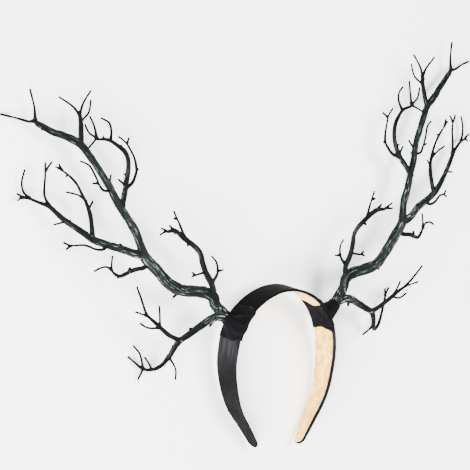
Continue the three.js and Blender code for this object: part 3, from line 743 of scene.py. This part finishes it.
def spikes(side):
    """Short stubs on the thick limbs, where twigs broke off."""
    draw = np.random.default_rng(SPIKE_SEEDS[side])
    stubs = []
    for limb in limbs[side][:1 + len(BOUGHS)]:
        for at in np.arange(FOOT_LENGTH + SPIKE_EVERY / 2, limb.along[-1], SPIKE_EVERY):
            place = at + draw.uniform(-SPIKE_SCATTER, SPIKE_SCATTER)
            i = int(np.searchsorted(limb.along, place)) % len(limb.along)
            angle = draw.uniform(0, 2 * math.pi)
            away = limb.flank[i] * math.cos(angle) + SPIKE_TO_FACE * limb.face[i] * math.sin(angle)
            away = away / np.linalg.norm(away) + SPIKE_TILT * limb.way[i]
            root = limb.line[i] + away * limb.thick[i] * SPIKE_ROOT
            length = limb.thick[i] * SPIKE_COVERED + SPIKE_LENGTH * draw.uniform(0.6, 1.2)
            points = root + away / np.linalg.norm(away) * np.linspace(0, length, 3)[:, None]
            stubs.append(shaped_limb(points, np.array(SPIKE_GIRTHS), side, 300 + i, False, sways=False))
    return stubs


def branch(name, side):
    """One branch as a fused mesh with grooved bark."""
    parts = limbs[side] + spikes(side)
    trunk = mesh_object(name, *limb_tube(parts[0]))
    cut(trunk, *hoop_block(*FOOT_BLOCK, side, FOOT_GAP, FOOT_BLOCK_DEPTH, BAND_BREADTH))
    rest = mesh_object("limbs", *joined([limb_tube(limb) for limb in parts[1:]]))
    points = fused(trunk, [rest], VOXEL, BARK_ROUNDS)
    gap, next_gap, centre, girth, grain = grain_of(points, parts)
    height = groove_height(grain)
    arm = points - centre
    arm /= np.maximum(np.linalg.norm(arm, axis=1), 1e-6)[:, None]
    snapped = 1 - smoothstep(SNAP_REACH * 0.6, SNAP_REACH, np.abs(gap))
    snapped = snapped * smoothstep(0.2, FORK_REACH, next_gap - gap)
    depth = GROOVE_DEPTH * np.minimum(girth, DEEPEST_GIRTH) * height
    set_corners(trunk, points + arm * (depth - gap * snapped)[:, None])
    set_attribute(trunk, "grain", "FLOAT_VECTOR", grain * [1, 1, GRAIN_STRETCH])
    set_attribute(trunk, "ridge", "FLOAT", height)
    set_attribute(trunk, "girth", "FLOAT", girth)
    print(f"{name}: {len(trunk.data.polygons)} faces, {time.perf_counter() - started:.0f} s so far")
    return trunk


left_antler = branch("left_antler_bark", -1)
right_antler = branch("right_antler_bark", 1)

# %% [markdown]
# ## The band
# The hoop is a springy plastic strip with thin black satin glued over it and folded in at its edges, so
# its edges are round and a little full. Where the tape squeezes it, the satin puckers into lengthwise
# wrinkles. A ring of corners round the strip is swept along the hoop, and wrinkles are raised on its
# outside. The legs narrow to round tips.

# %% Band
BAND_THICKNESS = 2.0
EDGE_FULLNESS = 0.15
RING_EVERY = 0.9
WRINKLE_DEPTH = 0.26
WRINKLE_WIDTH = 3.6
WRINKLE_LENGTH = 26.0
PUCKER_FROM_TO = (78, 108)
PUCKER_FADE = (130, 150)
PLAIN_PUCKER = 0.08
EDGE_SHARE = (0.72, 0.95)
EDGE_CALM = 0.6
SAG_SIZE = (19, 12, 1)
SAG_HEIGHT = 0.1

# Breadth of the band: the way from a tip in shares of half the hoop, and the share of its breadth
TAPER = np.array([
    (0, 0.44), (0.05, 0.52), (0.11, 0.62), (0.21, 0.75), (0.31, 0.86), (0.44, 0.96), (0.52, 1), (1, 1),
])


def breadth_at(along):
    """Breadth of the band by the way from a tip."""
    return BAND_BREADTH * eased(TAPER, 1, along / HALF_LENGTH)


def strip_section(thickness, face_steps):
    """Corners round a flat strip with round edges: a share of the inner half breadth, then offsets."""
    radius = thickness / 2
    bend = np.linspace(math.pi / 2, -math.pi / 2, 9)
    face = np.linspace(-1, 1, face_steps + 1)[1:-1]
    flat = np.zeros(len(face))
    share = np.concatenate([face, np.ones(9), -face, -np.ones(9)])
    across = np.concatenate([flat, radius * np.cos(bend), flat, -radius * np.cos(bend)])
    rise = np.concatenate([flat + radius, radius * np.sin(bend), flat - radius, -radius * np.sin(bend)])
    return share, across, rise


def strip(start, trim, thickness, face_steps):
    """Rings of a strip with round tips: the way along, the side, and each corner's across and rise."""
    radius = (breadth_at(start) - trim) / 2
    tip = start + radius * (1 - np.cos(np.linspace(0.12, math.pi / 2, 9)))
    steps = round((HALF_LENGTH - tip[-1]) / RING_EVERY)
    half = np.append(tip, np.linspace(tip[-1], HALF_LENGTH, steps)[1:])
    along = np.append(half, half[-2::-1])
    side = np.append(np.ones(len(half)), -np.ones(len(half) - 1))
    share, across, rise = strip_section(thickness, face_steps)
    short = np.clip((along - start) / radius, 0, 1)
    edge = (breadth_at(along) - trim) / 2 * np.sqrt(1 - (1 - short)**2)
    inner = np.maximum(edge - thickness / 2, 0.02)[:, None]
    across = inner * share + across * np.minimum(1, edge / thickness)[:, None]
    return along[:, None], side[:, None], across, np.broadcast_to(rise, across.shape)


def cloth_places(along, side, across):
    """Where each corner lies on the strip when it is rolled out flat, for noise and paint."""
    parts = np.broadcast_arrays(along, across, 400 * side)
    return np.stack([part.ravel() for part in parts], 1)


def band_piece():
    """The covered strip, with its wrinkles."""
    along, side, across, rise = strip(0, 0, BAND_THICKNESS, 30)
    outside = smoothstep(-BAND_THICKNESS / 2, 0, rise)
    flat = cloth_places(along, side, across)
    pucker = smoothstep(*PUCKER_FROM_TO, along) * (1 - smoothstep(*PUCKER_FADE, along))
    ripples = 1 - 2 * np.abs(noise(flat / [WRINKLE_LENGTH, WRINKLE_WIDTH, 1], 41).reshape(across.shape))
    sag = noise(flat / SAG_SIZE, 43).reshape(across.shape)
    edge = smoothstep(*EDGE_SHARE, np.abs(across) / (breadth_at(along) / 2))
    pucker = PLAIN_PUCKER + (1 - PLAIN_PUCKER) * pucker
    crease = WRINKLE_DEPTH * ripples * pucker * (1 - EDGE_CALM * edge)
    height = rise - BAND_THICKNESS / 2 + outside * (crease + SAG_HEIGHT * sag + EDGE_FULLNESS * edge)
    band = mesh_object("band_satin", *tube(on_hoop(along, side, across, height)))
    set_attribute(band, "cloth", "FLOAT_VECTOR", flat)
    return band


band = band_piece()
print(f"band: {len(band.data.polygons)} faces")

# %% [markdown]
# ## The lining
# Inside the band lies a strip of beige suede cloth on thin foam, a little off the middle to the back.
# A pale painted highlight runs along its cut edge. It is swept like the band, with its nap slightly
# uneven.

# %% Lining
LINING_BREADTH = 22.4
LINING_THICKNESS = 1.0
LINING_TO_BACK = 0.9
LINING_AT_CROWN = 0.7
LINING_TIP_MARGIN = 1.2
LINING_GAP = 0.15
LINING_EASES_IN = 30
LINING_CROWN = (130, 175)
NAP_UNEVENNESS = 0.07
NAP_PATCHES = (7, 5, 1)
NAP_GRAIN = (2.2, 1.8, 1)


def lining_piece():
    """The strip of suede inside the band."""
    trim = BAND_BREADTH - LINING_BREADTH
    along, side, across, rise = strip(LINING_TIP_MARGIN, trim, LINING_THICKNESS, 26)
    inside = 1 - smoothstep(0, LINING_THICKNESS / 2, rise)
    flat = cloth_places(along, side, across)
    uneven = noise(flat / NAP_PATCHES, 51) + 0.6 * noise(flat / NAP_GRAIN, 52)
    height = rise - BAND_THICKNESS - LINING_GAP - LINING_THICKNESS / 2
    height = height + inside * NAP_UNEVENNESS * uneven.reshape(across.shape)
    across = across + LINING_TO_BACK * smoothstep(LINING_TIP_MARGIN, LINING_EASES_IN, along)
    across = across + LINING_AT_CROWN * smoothstep(*LINING_CROWN, along)
    lining = mesh_object("lining_suede", *tube(on_hoop(along, side, across, height)))
    set_attribute(lining, "cloth", "FLOAT_VECTOR", flat)
    # The upper half of the cut edge is marked for a pale painted highlight
    set_attribute(lining, "cut_edge_highlight", "FLOAT", 1 - inside)
    return lining


lining = lining_piece()
print(f"lining: {len(lining.data.polygons)} faces")

# %% [markdown]
# ## The tape
# Each branch is bound on with black cloth tape: turns round the hoop that cross on the inside, turns over
# the root on the outside, and a collar up the foot of the branch. Stretched tape bridges the corner
# between hoop and branch with a slanting skirt, and each turn leaves a low step. So a sleeve, a skirt and
# a collar are built round the line of the hoop and of the trunk, fused by a voxel remesh, and the steps
# and folds are raised on the lump. Last, the space for the strip and the trunk is cut out of it.

# %% Tape
TAPE_THICKNESS = 0.75
TAPE_AT_EDGES = 0.32
TAPE_EDGE_ROUND = 1.3
TAPE_VOXEL = 0.36
TAPE_ROUNDS = 3
INSIDE_OF_LINING = -BAND_THICKNESS - LINING_GAP - LINING_THICKNESS
HOOP_SPAN = (90, 165)
WALL = 0.25

# The collar up the foot and the skirt at its root, which differ from side to side
COLLAR_THICKNESS = {-1: 0.45, 1: 1.3}
COLLAR_START = 7.0
COLLAR_END = {-1: 24.8, 1: 21.4}
COLLAR_TURN = 4.4
ROOT_BULK = {-1: 1.3, 1: -0.4}
SKIRT_TOP = 19.0
SKIRT_BEND = 7.0
SKIRT_HOLLOW = 0.3
SKIRT_MIDDLE = {-1: 5.0, 1: 9.0}
SKIRT_TO_FRONT = 3.6
SKIRT_HALF_ALONG = {-1: 13.5, 1: 10.0}
SKIRT_HALF_ACROSS = 10.3
SKIRT_OVER_EDGE = 4.0

# Heights of the steps between turns and of the folds in them, and the reach of the painted highlight
# at the cut edge
INSIDE_STEP = 0.42
OUTSIDE_STEP = 0.2
COLLAR_STEP = 0.28
FOLD_HEIGHT = 0.12
FOLD_WIDTH = 2.3
FOLD_LENGTH = 12
RING_HEIGHT = 0.1
EDGE_GLINT_FROM_TO = (0.35, 0.8)

# Where the tape counts as collar, inside or outside: heights over the band and ways up the foot
OFF_BAND = (1.2, 3.5)
UP_FOOT = (6, 10)
DEPTH_INSIDE = (2.4, 3.3)
HEIGHT_OUTSIDE = (-0.6, 0.2)

# Where the turns round the hoop end: the way across to the back, the end toward the tip and that
# toward the crown
OUTSIDE_ENDS = np.array([(-14, 113, 146), (0, 112.5, 146.5), (14, 114.5, 145)])
INSIDE_ENDS = {
    -1: np.array([(-14, 113, 143), (1, 113, 134), (14, 110, 143.5)]),
    1: np.array([(-14, 107.5, 141), (1, 111.5, 134), (14, 108.5, 143.5)]),
}

# Edges of turns that lie on top of others, as lines through places along and across the band
INSIDE_EDGE = np.array([(144, 14), (134, 1), (119, -7), (111, -15)])
OUTSIDE_EDGE = np.array([(141, 15), (133, 3), (124, -5), (112, -15)])


def rounded_box(half, high, low, radius, face_steps):
    """Across and height of the corners round a box with round edges."""
    arc = np.linspace(0, math.pi / 2, 6)
    face = np.linspace(-1, 1, face_steps + 1)[1:-1] * (half - radius)
    top = [(x, high) for x in face]
    back = [(half - radius + radius * math.sin(a), high - radius + radius * math.cos(a)) for a in arc]
    back += [(half - radius + radius * math.cos(a), low + radius - radius * math.sin(a)) for a in arc]
    bottom = [(-x, low) for x in face]
    front = [(-x, low + high - y) for x, y in back]
    return np.array(top + back + bottom + front).T


def turn_sleeve(side):
    """The turns round the hoop as one sleeve with slanting ends."""
    high, low = TAPE_THICKNESS, INSIDE_OF_LINING - TAPE_THICKNESS
    across, height = rounded_box(BAND_BREADTH / 2 + TAPE_AT_EDGES, high, low, TAPE_EDGE_ROUND, 26)
    outside = smoothstep(low, high, height)
    start, end = [
        np.interp(across, INSIDE_ENDS[side][:, 0], INSIDE_ENDS[side][:, i]) * (1 - outside)
        + np.interp(across, OUTSIDE_ENDS[:, 0], OUTSIDE_ENDS[:, i]) * outside
        for i in (1, 2)
    ]
    along = start + (end - start) * np.linspace(0, 1, 90)[:, None]
    return tube(on_hoop(along, side, across, height))


def trunk_ring(trunk, at, grow, turns):
    """A ring round the trunk at a place along it, grown by so much."""
    i = int(np.searchsorted(trunk.along, at))
    return (trunk.line[i] + trunk.flank[i] * np.cos(turns)[:, None] * (trunk.wide[i] + grow)
            + trunk.face[i] * np.sin(turns)[:, None] * (trunk.thick[i] + grow))


def root_skirt(side, trunk):
    """Tape stretched from the trunk to the band and over its front edge, a little hollow in profile."""
    turns = np.arange(48) * 2 * math.pi / 48
    to_back = np.sin(turns)
    along = FOOT_ALONG + SKIRT_MIDDLE[side] + side * SKIRT_HALF_ALONG[side] * np.cos(turns)
    over_edge = SKIRT_OVER_EDGE * smoothstep(0.35, 0.8, -to_back)
    base = on_hoop(along, side, SKIRT_HALF_ACROSS * to_back - SKIRT_TO_FRONT, 0.2 - over_edge)
    top = trunk_ring(trunk, SKIRT_TOP, COLLAR_THICKNESS[side], turns)
    root = trunk_ring(trunk, SKIRT_BEND, ROOT_BULK[side], turns)
    bend = (base + top) / 2 * (1 - SKIRT_HOLLOW) + root * SKIRT_HOLLOW
    t = np.linspace(0, 1, 16)[:, None, None]
    return tube((1 - t)**2 * base + 2 * t * (1 - t) * bend + t**2 * top)


def collar(side, trunk):
    """The turns up the foot of the branch, each with a slightly raised edge."""
    turns = np.arange(36) * 2 * math.pi / 36
    places = np.arange(COLLAR_START, COLLAR_END[side], 0.5)
    piled = ROOT_BULK[side] * (1 - smoothstep(COLLAR_START, COLLAR_END[side] - 4, places))
    grown = COLLAR_THICKNESS[side] + piled
    return tube([trunk_ring(trunk, at, grow, turns) for at, grow in zip(places, grown)])


def hoop_place(points, side):
    """The ways along and across the band and the height over it, for points near it."""
    along = np.linspace(*HOOP_SPAN, 301)
    line, out = plain_hoop(along, np.full(len(along), side))
    line = line + out * eased(STRAYS, OUTWARD, along)[:, None]
    nearest = ((points[:, None, ::2] - line[None, :, ::2])**2).sum(2).argmin(1)
    height = ((points - line[nearest]) * out[nearest]).sum(1)
    across = points[:, 1] + eased(STRAYS, FORWARD, along[nearest])
    return along[nearest], across, height


def beyond(edge, along, across):
    """How far places lie to the tip's side of a line across the band, in millimetres."""
    return np.interp(across, edge[::-1, 1], edge[::-1, 0]) - along


def tape_relief(points, side, trunk):
    """Height of steps and folds on the lump, each corner's way along and across, and its painted edge
    highlight.
    """
    along, across, height = hoop_place(points, side)
    arm = points[:, None] - trunk.line[None, :60]
    near = (arm**2).sum(2).argmin(1)
    up_foot = trunk.along[near] + ((points - trunk.line[near]) * trunk.way[near]).sum(1)
    arm = points - trunk.line[near]
    angle = np.arctan2((arm * trunk.face[near]).sum(1), (arm * trunk.flank[near]).sum(1))
    on_collar = smoothstep(*OFF_BAND, height) * smoothstep(*UP_FOOT, up_foot)
    inside = smoothstep(*DEPTH_INSIDE, -height)
    outside = smoothstep(*HEIGHT_OUTSIDE, height) * (1 - on_collar)
    step = INSIDE_STEP * smoothstep(-0.3, 0.3, beyond(INSIDE_EDGE, along, across)) * inside
    step += OUTSIDE_STEP * smoothstep(-0.3, 0.3, beyond(OUTSIDE_EDGE, along, across)) * outside
    around = (up_foot + 0.9 * np.sin(angle) + COLLAR_TURN * angle / (2 * math.pi)) / COLLAR_TURN
    step += COLLAR_STEP * (around % 1) * on_collar
    folds = noise(np.stack([(along + 0.45 * across) / FOLD_WIDTH, across / FOLD_LENGTH, 0 * along], 1), 62)
    folds *= 0.6 + 0.4 * noise(np.stack([along, across, height], 1) / 9, 64)
    rings = noise(np.stack([around * 2.1, angle * 0.8, 0 * angle], 1), 63)
    # A thin strip just below the end of the outer turns, for a greyer painted highlight on the cut edge
    to_end = np.interp(across, OUTSIDE_ENDS[:, 0], OUTSIDE_ENDS[:, 2]) - along
    edge_glint = outside * (1 - smoothstep(*EDGE_GLINT_FROM_TO, np.abs(to_end - 0.2))) * smoothstep(-0.6, 0.2, folds)
    height = step + FOLD_HEIGHT * folds * (1 - on_collar) + RING_HEIGHT * rings * on_collar
    return height, along, across, edge_glint


def binding(name, side):
    """All turns of tape on one side as one lump, hollow for the strip and the trunk."""
    trunk = limbs[side][0]
    lump = mesh_object(name, *turn_sleeve(side))
    rest = [mesh_object("turns", *part) for part in (root_skirt(side, trunk), collar(side, trunk))]
    points = fused(lump, rest, TAPE_VOXEL, TAPE_ROUNDS)
    set_corners(lump, points)
    normals = np.empty(3 * len(points))
    lump.data.vertices.foreach_get("normal", normals)
    relief, along, across, edge_glint = tape_relief(points, side, trunk)
    set_corners(lump, points + normals.reshape(-1, 3) @ turn * relief[:, None])
    set_attribute(lump, "cloth", "FLOAT_VECTOR", np.stack([along, across, 0 * along], 1))
    set_attribute(lump, "edge_glint", "FLOAT", edge_glint)
    cut(lump, *hoop_block(*HOOP_SPAN, side, -WALL, INSIDE_OF_LINING + WALL, BAND_BREADTH / 2 - WALL))
    free = trunk.along > BRANCH_GIRTH / 2
    slim = Limb(*(values[free] for values in trunk))
    cut(lump, *limb_tube(slim._replace(wide=slim.wide - WALL, thick=slim.thick - WALL)))
    print(f"{name}: {len(lump.data.polygons)} faces, {time.perf_counter() - started:.0f} s so far")
    return lump


left_binding = binding("left_tape_binding", -1)
right_binding = binding("right_tape_binding", 1)

# %% [markdown]
# ## Finishes
# Every material is made from a few procedural nodes. Their scales come from millimetres on the real
# thing, and they read the places that the meshes carry, so that a pattern follows the limb or the strip.

# %% Colours and nodes
def hex_colour(text):
    """An sRGB colour written as hex, as linear colour."""
    parts = [int(text[i:i + 2], 16) / 255 for i in (1, 3, 5)]
    return [x / 12.92 if x <= 0.04045 else ((x + 0.055) / 1.055)**2.4 for x in parts] + [1]


def add(tree, kind, inputs, **settings):
    """A node with its settings. Each input, by name or number, gets a value or a link to a socket."""
    node = tree.nodes.new(kind)
    for name, value in settings.items():
        setattr(node, name, value)
    for name, value in inputs.items():
        if isinstance(value, bpy.types.NodeSocket):
            tree.links.new(value, node.inputs[name])
        else:
            node.inputs[name].default_value = value
    return node


def new_material(name, **constants):
    """A material and its tree and shader, with what is the same all over set on the shader itself."""
    material = bpy.data.materials.new(name)
    material.use_nodes = True
    shader = material.node_tree.nodes["Principled BSDF"]
    for socket, value in constants.items():
        shader.inputs[socket.replace("_", " ")].default_value = value
    return material, material.node_tree, shader


def carried(tree, name, output="Fac"):
    """What the mesh carries at each corner under a name."""
    return add(tree, "ShaderNodeAttribute", {}, attribute_name=name).outputs[output]


def noise_at(tree, vector, size_mm, detail=2.0, stretch=(1, 1, 1)):
    """Noise over places in millimetres, with a grain of so many millimetres."""
    scaled = add(tree, "ShaderNodeVectorMath", {0: vector, 1: stretch}, operation="MULTIPLY")
    return add(tree, "ShaderNodeTexNoise", {
        "Vector": scaled.outputs[0], "Scale": 1 / size_mm, "Detail": detail, "Roughness": 0.55}).outputs[0]


def share(tree, value, low, high):
    """How far a value is from low to high, as a soft step."""
    return add(tree, "ShaderNodeMapRange", {"Value": value, "From Min": low, "From Max": high},
               interpolation_type="SMOOTHSTEP").outputs[0]


def times(tree, first, second):
    """The product of two values."""
    return add(tree, "ShaderNodeMath", {0: first, 1: second}, operation="MULTIPLY").outputs[0]


def blend(tree, amount, first, second):
    """One colour or the other, by an amount from 0 to 1. A colour is a socket or written as hex."""
    first, second = [hex_colour(x) if isinstance(x, str) else x for x in (first, second)]
    mix = add(tree, "ShaderNodeMix", {"Factor": amount, "A": first, "B": second}, data_type="RGBA")
    return mix.outputs["Result"]


def dress(tree, shader, colour, height, depth_mm):
    """Gives a shader its colour and a low relief."""
    bump = add(tree, "ShaderNodeBump", {"Height": height, "Strength": 1.0, "Distance": depth_mm * MM})
    tree.links.new(colour, shader.inputs["Base Color"])
    tree.links.new(bump.outputs[0], shader.inputs["Normal"])


print("nodes are ready")

# %% [markdown]
# ### Dry-brushed plastic bark
# The branches are moulded PVC in a green black. A nearly dry brush with grey paint was drawn along them,
# so a thin veil of paint lies in streaks on the ridges of the thick limbs, and hardly any reached the
# twigs. The grey streaks are that paint together with a painted highlight along the ridges, and the
# bright flecks in them and the short chips near the foot are painted highlight over spots of paint.
# The grain on the mesh is shortened along the limb, so streaks 0.9 mm wide come out some 19 mm long,
# flecks of 0.5 mm some 8 mm long, and chips of 1 mm some 4 mm long.
# The plastic has an IOR of 1.46. Its roughness is 0.42 where it is bare, which gives a soft gloss, and
# 0.62 where the dry paint lies. It mirrors little of the bright tent, or the bark would look grey.

# %% Finish of the branches
# Millimetres up a limb between which the bright chips, painted highlight over paint, set in toward the
# foot
FOOT_PAINT_FROM_TO = (46.875, 25)

plastic, tree, shader = new_material(
    "moulded PVC, dry brushed with grey", IOR=1.46, Specular_IOR_Level=0.012)
grain = carried(tree, "grain", "Vector")
ridge = carried(tree, "ridge")
girth = carried(tree, "girth")
thick_limb = share(tree, girth, 1.2, 4.0)
cloudy = noise_at(tree, grain, 6.0)
streaks = noise_at(tree, grain, 0.9, detail=3.0, stretch=(1, 1, 0.3))
flecks = noise_at(tree, grain, 0.5, stretch=(1, 1, 0.4))
chips = share(tree, noise_at(tree, grain, 1.0, stretch=(1, 1, 1.5)), 0.6, 0.7)

# The bare plastic: cloudy on the thick limbs, darker on the twigs
tinted = blend(tree, share(tree, cloudy, 0.4, 0.65), "#0a0e0e", "#161a1a")
bare = blend(tree, thick_limb, "#080909", tinted)

# The veil on the ridges, grey paint with a painted highlight, then the flecks in it and the chips near
# the foot, painted highlight over spots of paint
paint_and_highlight_veil = times(tree, share(tree, ridge, -0.2, 0.7), share(tree, streaks, 0.5, 0.64))
paint_and_highlight_veil = times(tree, paint_and_highlight_veil, thick_limb)
grey_paint_and_highlight = blend(tree, times(tree, paint_and_highlight_veil, 0.65), bare, "#393f3f")
flecks_paint_and_highlight = times(tree, times(tree, paint_and_highlight_veil, share(tree, flecks, 0.52, 0.64)), 0.85)
up_limb = add(tree, "ShaderNodeSeparateXYZ", {0: grain}).outputs[2]
# Toward the foot, short bright chips: painted highlight over spots of paint
toward_foot = share(tree, up_limb, *(GRAIN_STRETCH * at for at in FOOT_PAINT_FROM_TO))
chips_paint_and_highlight = times(tree, times(tree, chips, toward_foot), 0.5)
bright_paint_and_highlight = add(tree, "ShaderNodeMath", {0: flecks_paint_and_highlight, 1: chips_paint_and_highlight}, operation="MAXIMUM").outputs[0]
# The light grey here is a painted highlight over the dry-brushed paint
bark_paint_and_highlights = blend(tree, bright_paint_and_highlight, grey_paint_and_highlight, "#b4bcbb")
dress(tree, shader, bark_paint_and_highlights, streaks, 0.35)
dull = add(tree, "ShaderNodeMapRange", {"Value": paint_and_highlight_veil, "To Min": 0.42, "To Max": 0.62})
tree.links.new(dull.outputs[0], shader.inputs["Roughness"])
print(f"{plastic.name}: {len(tree.nodes)} nodes")

# %% [markdown]
# ### Satin
# The cover is thin black polyester satin, woven with long floats and glued flat. Its floats give a broad
# soft gloss along the strip, here a roughness of 0.55, with hardly any mirror image of the tent. Where
# the tape gathers it, the folds get a greyer painted highlight, and over the crown a painted shade makes
# it nearly black. The weave is too fine to see at this distance, so only faint lengthwise
# streaks of about half a millimetre stand for it.

# %% Finish of the band
# Millimetres from a tip between which the painted highlight on the gathers begins and ends, and the
# painted shade over the crown sets in
GATHERS_HIGHLIGHT_FROM_TO = (84, 106)
GATHERS_HIGHLIGHT_FADE = (122, 112)
CROWN_SHADE_FROM_TO = (126, 150)

satin, tree, shader = new_material(
    "black polyester satin, woven and glued", IOR=1.5, Roughness=0.55, Specular_IOR_Level=0.005)
cloth = carried(tree, "cloth", "Vector")
floats = noise_at(tree, cloth, 0.5, stretch=(0.05, 1, 1))
folds = noise_at(tree, cloth, 4.0, stretch=(0.12, 1, 1))
shade = blend(tree, share(tree, noise_at(tree, cloth, 14), 0.35, 0.65), "#0d0d0e", "#121213")
from_tip = add(tree, "ShaderNodeSeparateXYZ", {0: cloth}).outputs[0]
# A greyer painted highlight on the folds below the tape, then a painted shade over the crown
gathers_highlight = times(tree, share(tree, from_tip, *GATHERS_HIGHLIGHT_FROM_TO), share(tree, from_tip, *GATHERS_HIGHLIGHT_FADE))
folds_highlighted = blend(tree, times(tree, gathers_highlight, share(tree, folds, 0.3, 0.62)), shade, "#222224")
crown_painted_shade = blend(tree, share(tree, from_tip, *CROWN_SHADE_FROM_TO), folds_highlighted, "#080809")
dress(tree, shader, crown_painted_shade, floats, 0.05)
print(f"{satin.name}: {len(tree.nodes)} nodes")

# %% [markdown]
# ### Suede cloth
# The lining is knitted polyester with a brushed nap, in a warm beige. Where the nap lies the other way it
# looks lighter, in patches of about 6 mm. Its grain of half a millimetre is too fine to show at this
# distance, so it is drawn twice as coarse, at 1.1 mm. The nap has no gloss, hence a roughness of 0.95,
# and a little sheen brightens it toward its outline. A pale painted highlight runs along the cut edge.

# %% Finish of the lining
suede, tree, shader = new_material(
    "brushed suede cloth on foam", IOR=1.5, Roughness=0.95, Sheen_Weight=0.25, Sheen_Roughness=0.6)
cloth = carried(tree, "cloth", "Vector")
patches = noise_at(tree, cloth, 6.0, detail=3.0, stretch=(0.7, 1, 1))
nap = noise_at(tree, cloth, 1.1, detail=4.0, stretch=(0.6, 1, 1))
mottled = blend(tree, share(tree, patches, 0.38, 0.62), "#c48c2e", "#eebd56")
napped = blend(tree, times(tree, share(tree, nap, 0.45, 0.62), 0.6), mottled, "#a4682c")
# A pale painted highlight along the cut edge
edge_highlighted = blend(tree, carried(tree, "cut_edge_highlight"), napped, "#efe0cc")
dress(tree, shader, edge_highlighted, nap, 0.15)
print(f"{suede.name}: {len(tree.nodes)} nodes")

# %% [markdown]
# ### Cloth tape
# Gaffer tape is cotton cloth under a thin matt plastic film, in black. The threads print through as a
# fine grain of about 0.35 mm, which shows only from close up. The film scatters light broadly, at a
# roughness of 0.65. Along the cut edge toward the crown a greyer painted highlight stands for the light
# that catches that edge.

# %% Finish of the tape
tape, tree, shader = new_material(
    "black cotton cloth tape under matt film", IOR=1.48, Roughness=0.65, Specular_IOR_Level=0.015)
cloth = carried(tree, "cloth", "Vector")
threads = noise_at(tree, cloth, 0.35, detail=1.0)
worn = noise_at(tree, cloth, 5.0, detail=3.0)
dusty = blend(tree, share(tree, worn, 0.45, 0.75), "#070708", "#0f0f11")
# A greyer painted highlight along the cut edge toward the crown
edge_glinted = blend(tree, carried(tree, "edge_glint"), dusty, "#333335")
dress(tree, shader, edge_glinted, threads, 0.08)
print(f"{tape.name}: {len(tree.nodes)} nodes")

pieces = {
    "band": (band, satin),
    "lining": (lining, suede),
    "left_antler": (left_antler, plastic),
    "right_antler": (right_antler, plastic),
    "left_binding": (left_binding, tape),
    "right_binding": (right_binding, tape),
}
for piece, finish in pieces.values():
    piece.data.materials.clear()
    piece.data.materials.append(finish)
print("finishes:", sorted({finish.name for _, finish in pieces.values()}))

# %% [markdown]
# ## Table and light
# The headband lies on a wide white table in a photographer's light tent, so the sky around is an even
# white. One large soft light stands low at the left. It runs along the outside of the left leg and of the
# thick limbs and leaves the crown dark. A weaker one over the right side softens the shadows. Black satin
# and tape show mostly what they reflect, so both lights are broad and have no hard rims.

# %% Table and lights
TABLE_SIZE = 30.0
TABLE_TOP_GAP = 0.0002

table = bpy.data.objects.new("table", bpy.data.meshes.new("table"))
reach = TABLE_SIZE / 2
square = ((-reach, -reach), (reach, -reach), (reach, reach), (-reach, reach))
table.data.from_pydata([(x, y, -TABLE_TOP_GAP) for x, y in square], [], [(0, 1, 2, 3)])
bpy.context.scene.collection.objects.link(table)
laminate, tree, shader = new_material("white laminate", Roughness=0.85, Specular_IOR_Level=0.2)
shader.inputs["Base Color"].default_value = hex_colour("#fcfcfc")
table.data.materials.append(laminate)

world = bpy.data.worlds.new("light tent")
bpy.context.scene.world = world
world.use_nodes = True
sky = world.node_tree.nodes["Background"].inputs
sky["Color"].default_value = hex_colour("#ffffff")
sky["Strength"].default_value = 0.7


def soft_light(name, place, size, watts):
    """A square lamp that faces the middle of the table."""
    lamp = bpy.data.objects.new(name, bpy.data.lights.new(name, "AREA"))
    lamp.data.size = size
    lamp.data.energy = watts
    lamp.location = place
    lamp.rotation_euler = (-Vector(place)).to_track_quat("-Z", "Y").to_euler()
    bpy.context.scene.collection.objects.link(lamp)


soft_light("key light", (-2.2, -0.9, 1.2), 1.8, 520)
soft_light("fill light", (1.2, 0.4, 2.4), 1.6, 220)

# %% [markdown]
# ## In place of the solids
# Each piece takes the place of its solid and rides on the one body that this object has.

# %% Pieces on the frame
for node, (piece, _) in pieces.items():
    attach(piece, "root")
    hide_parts(node)
bpy.context.view_layer.update()
print(f"{sum(len(piece.data.polygons) for piece, _ in pieces.values())} faces in all")
print(f"done in {time.perf_counter() - started:.0f} s")
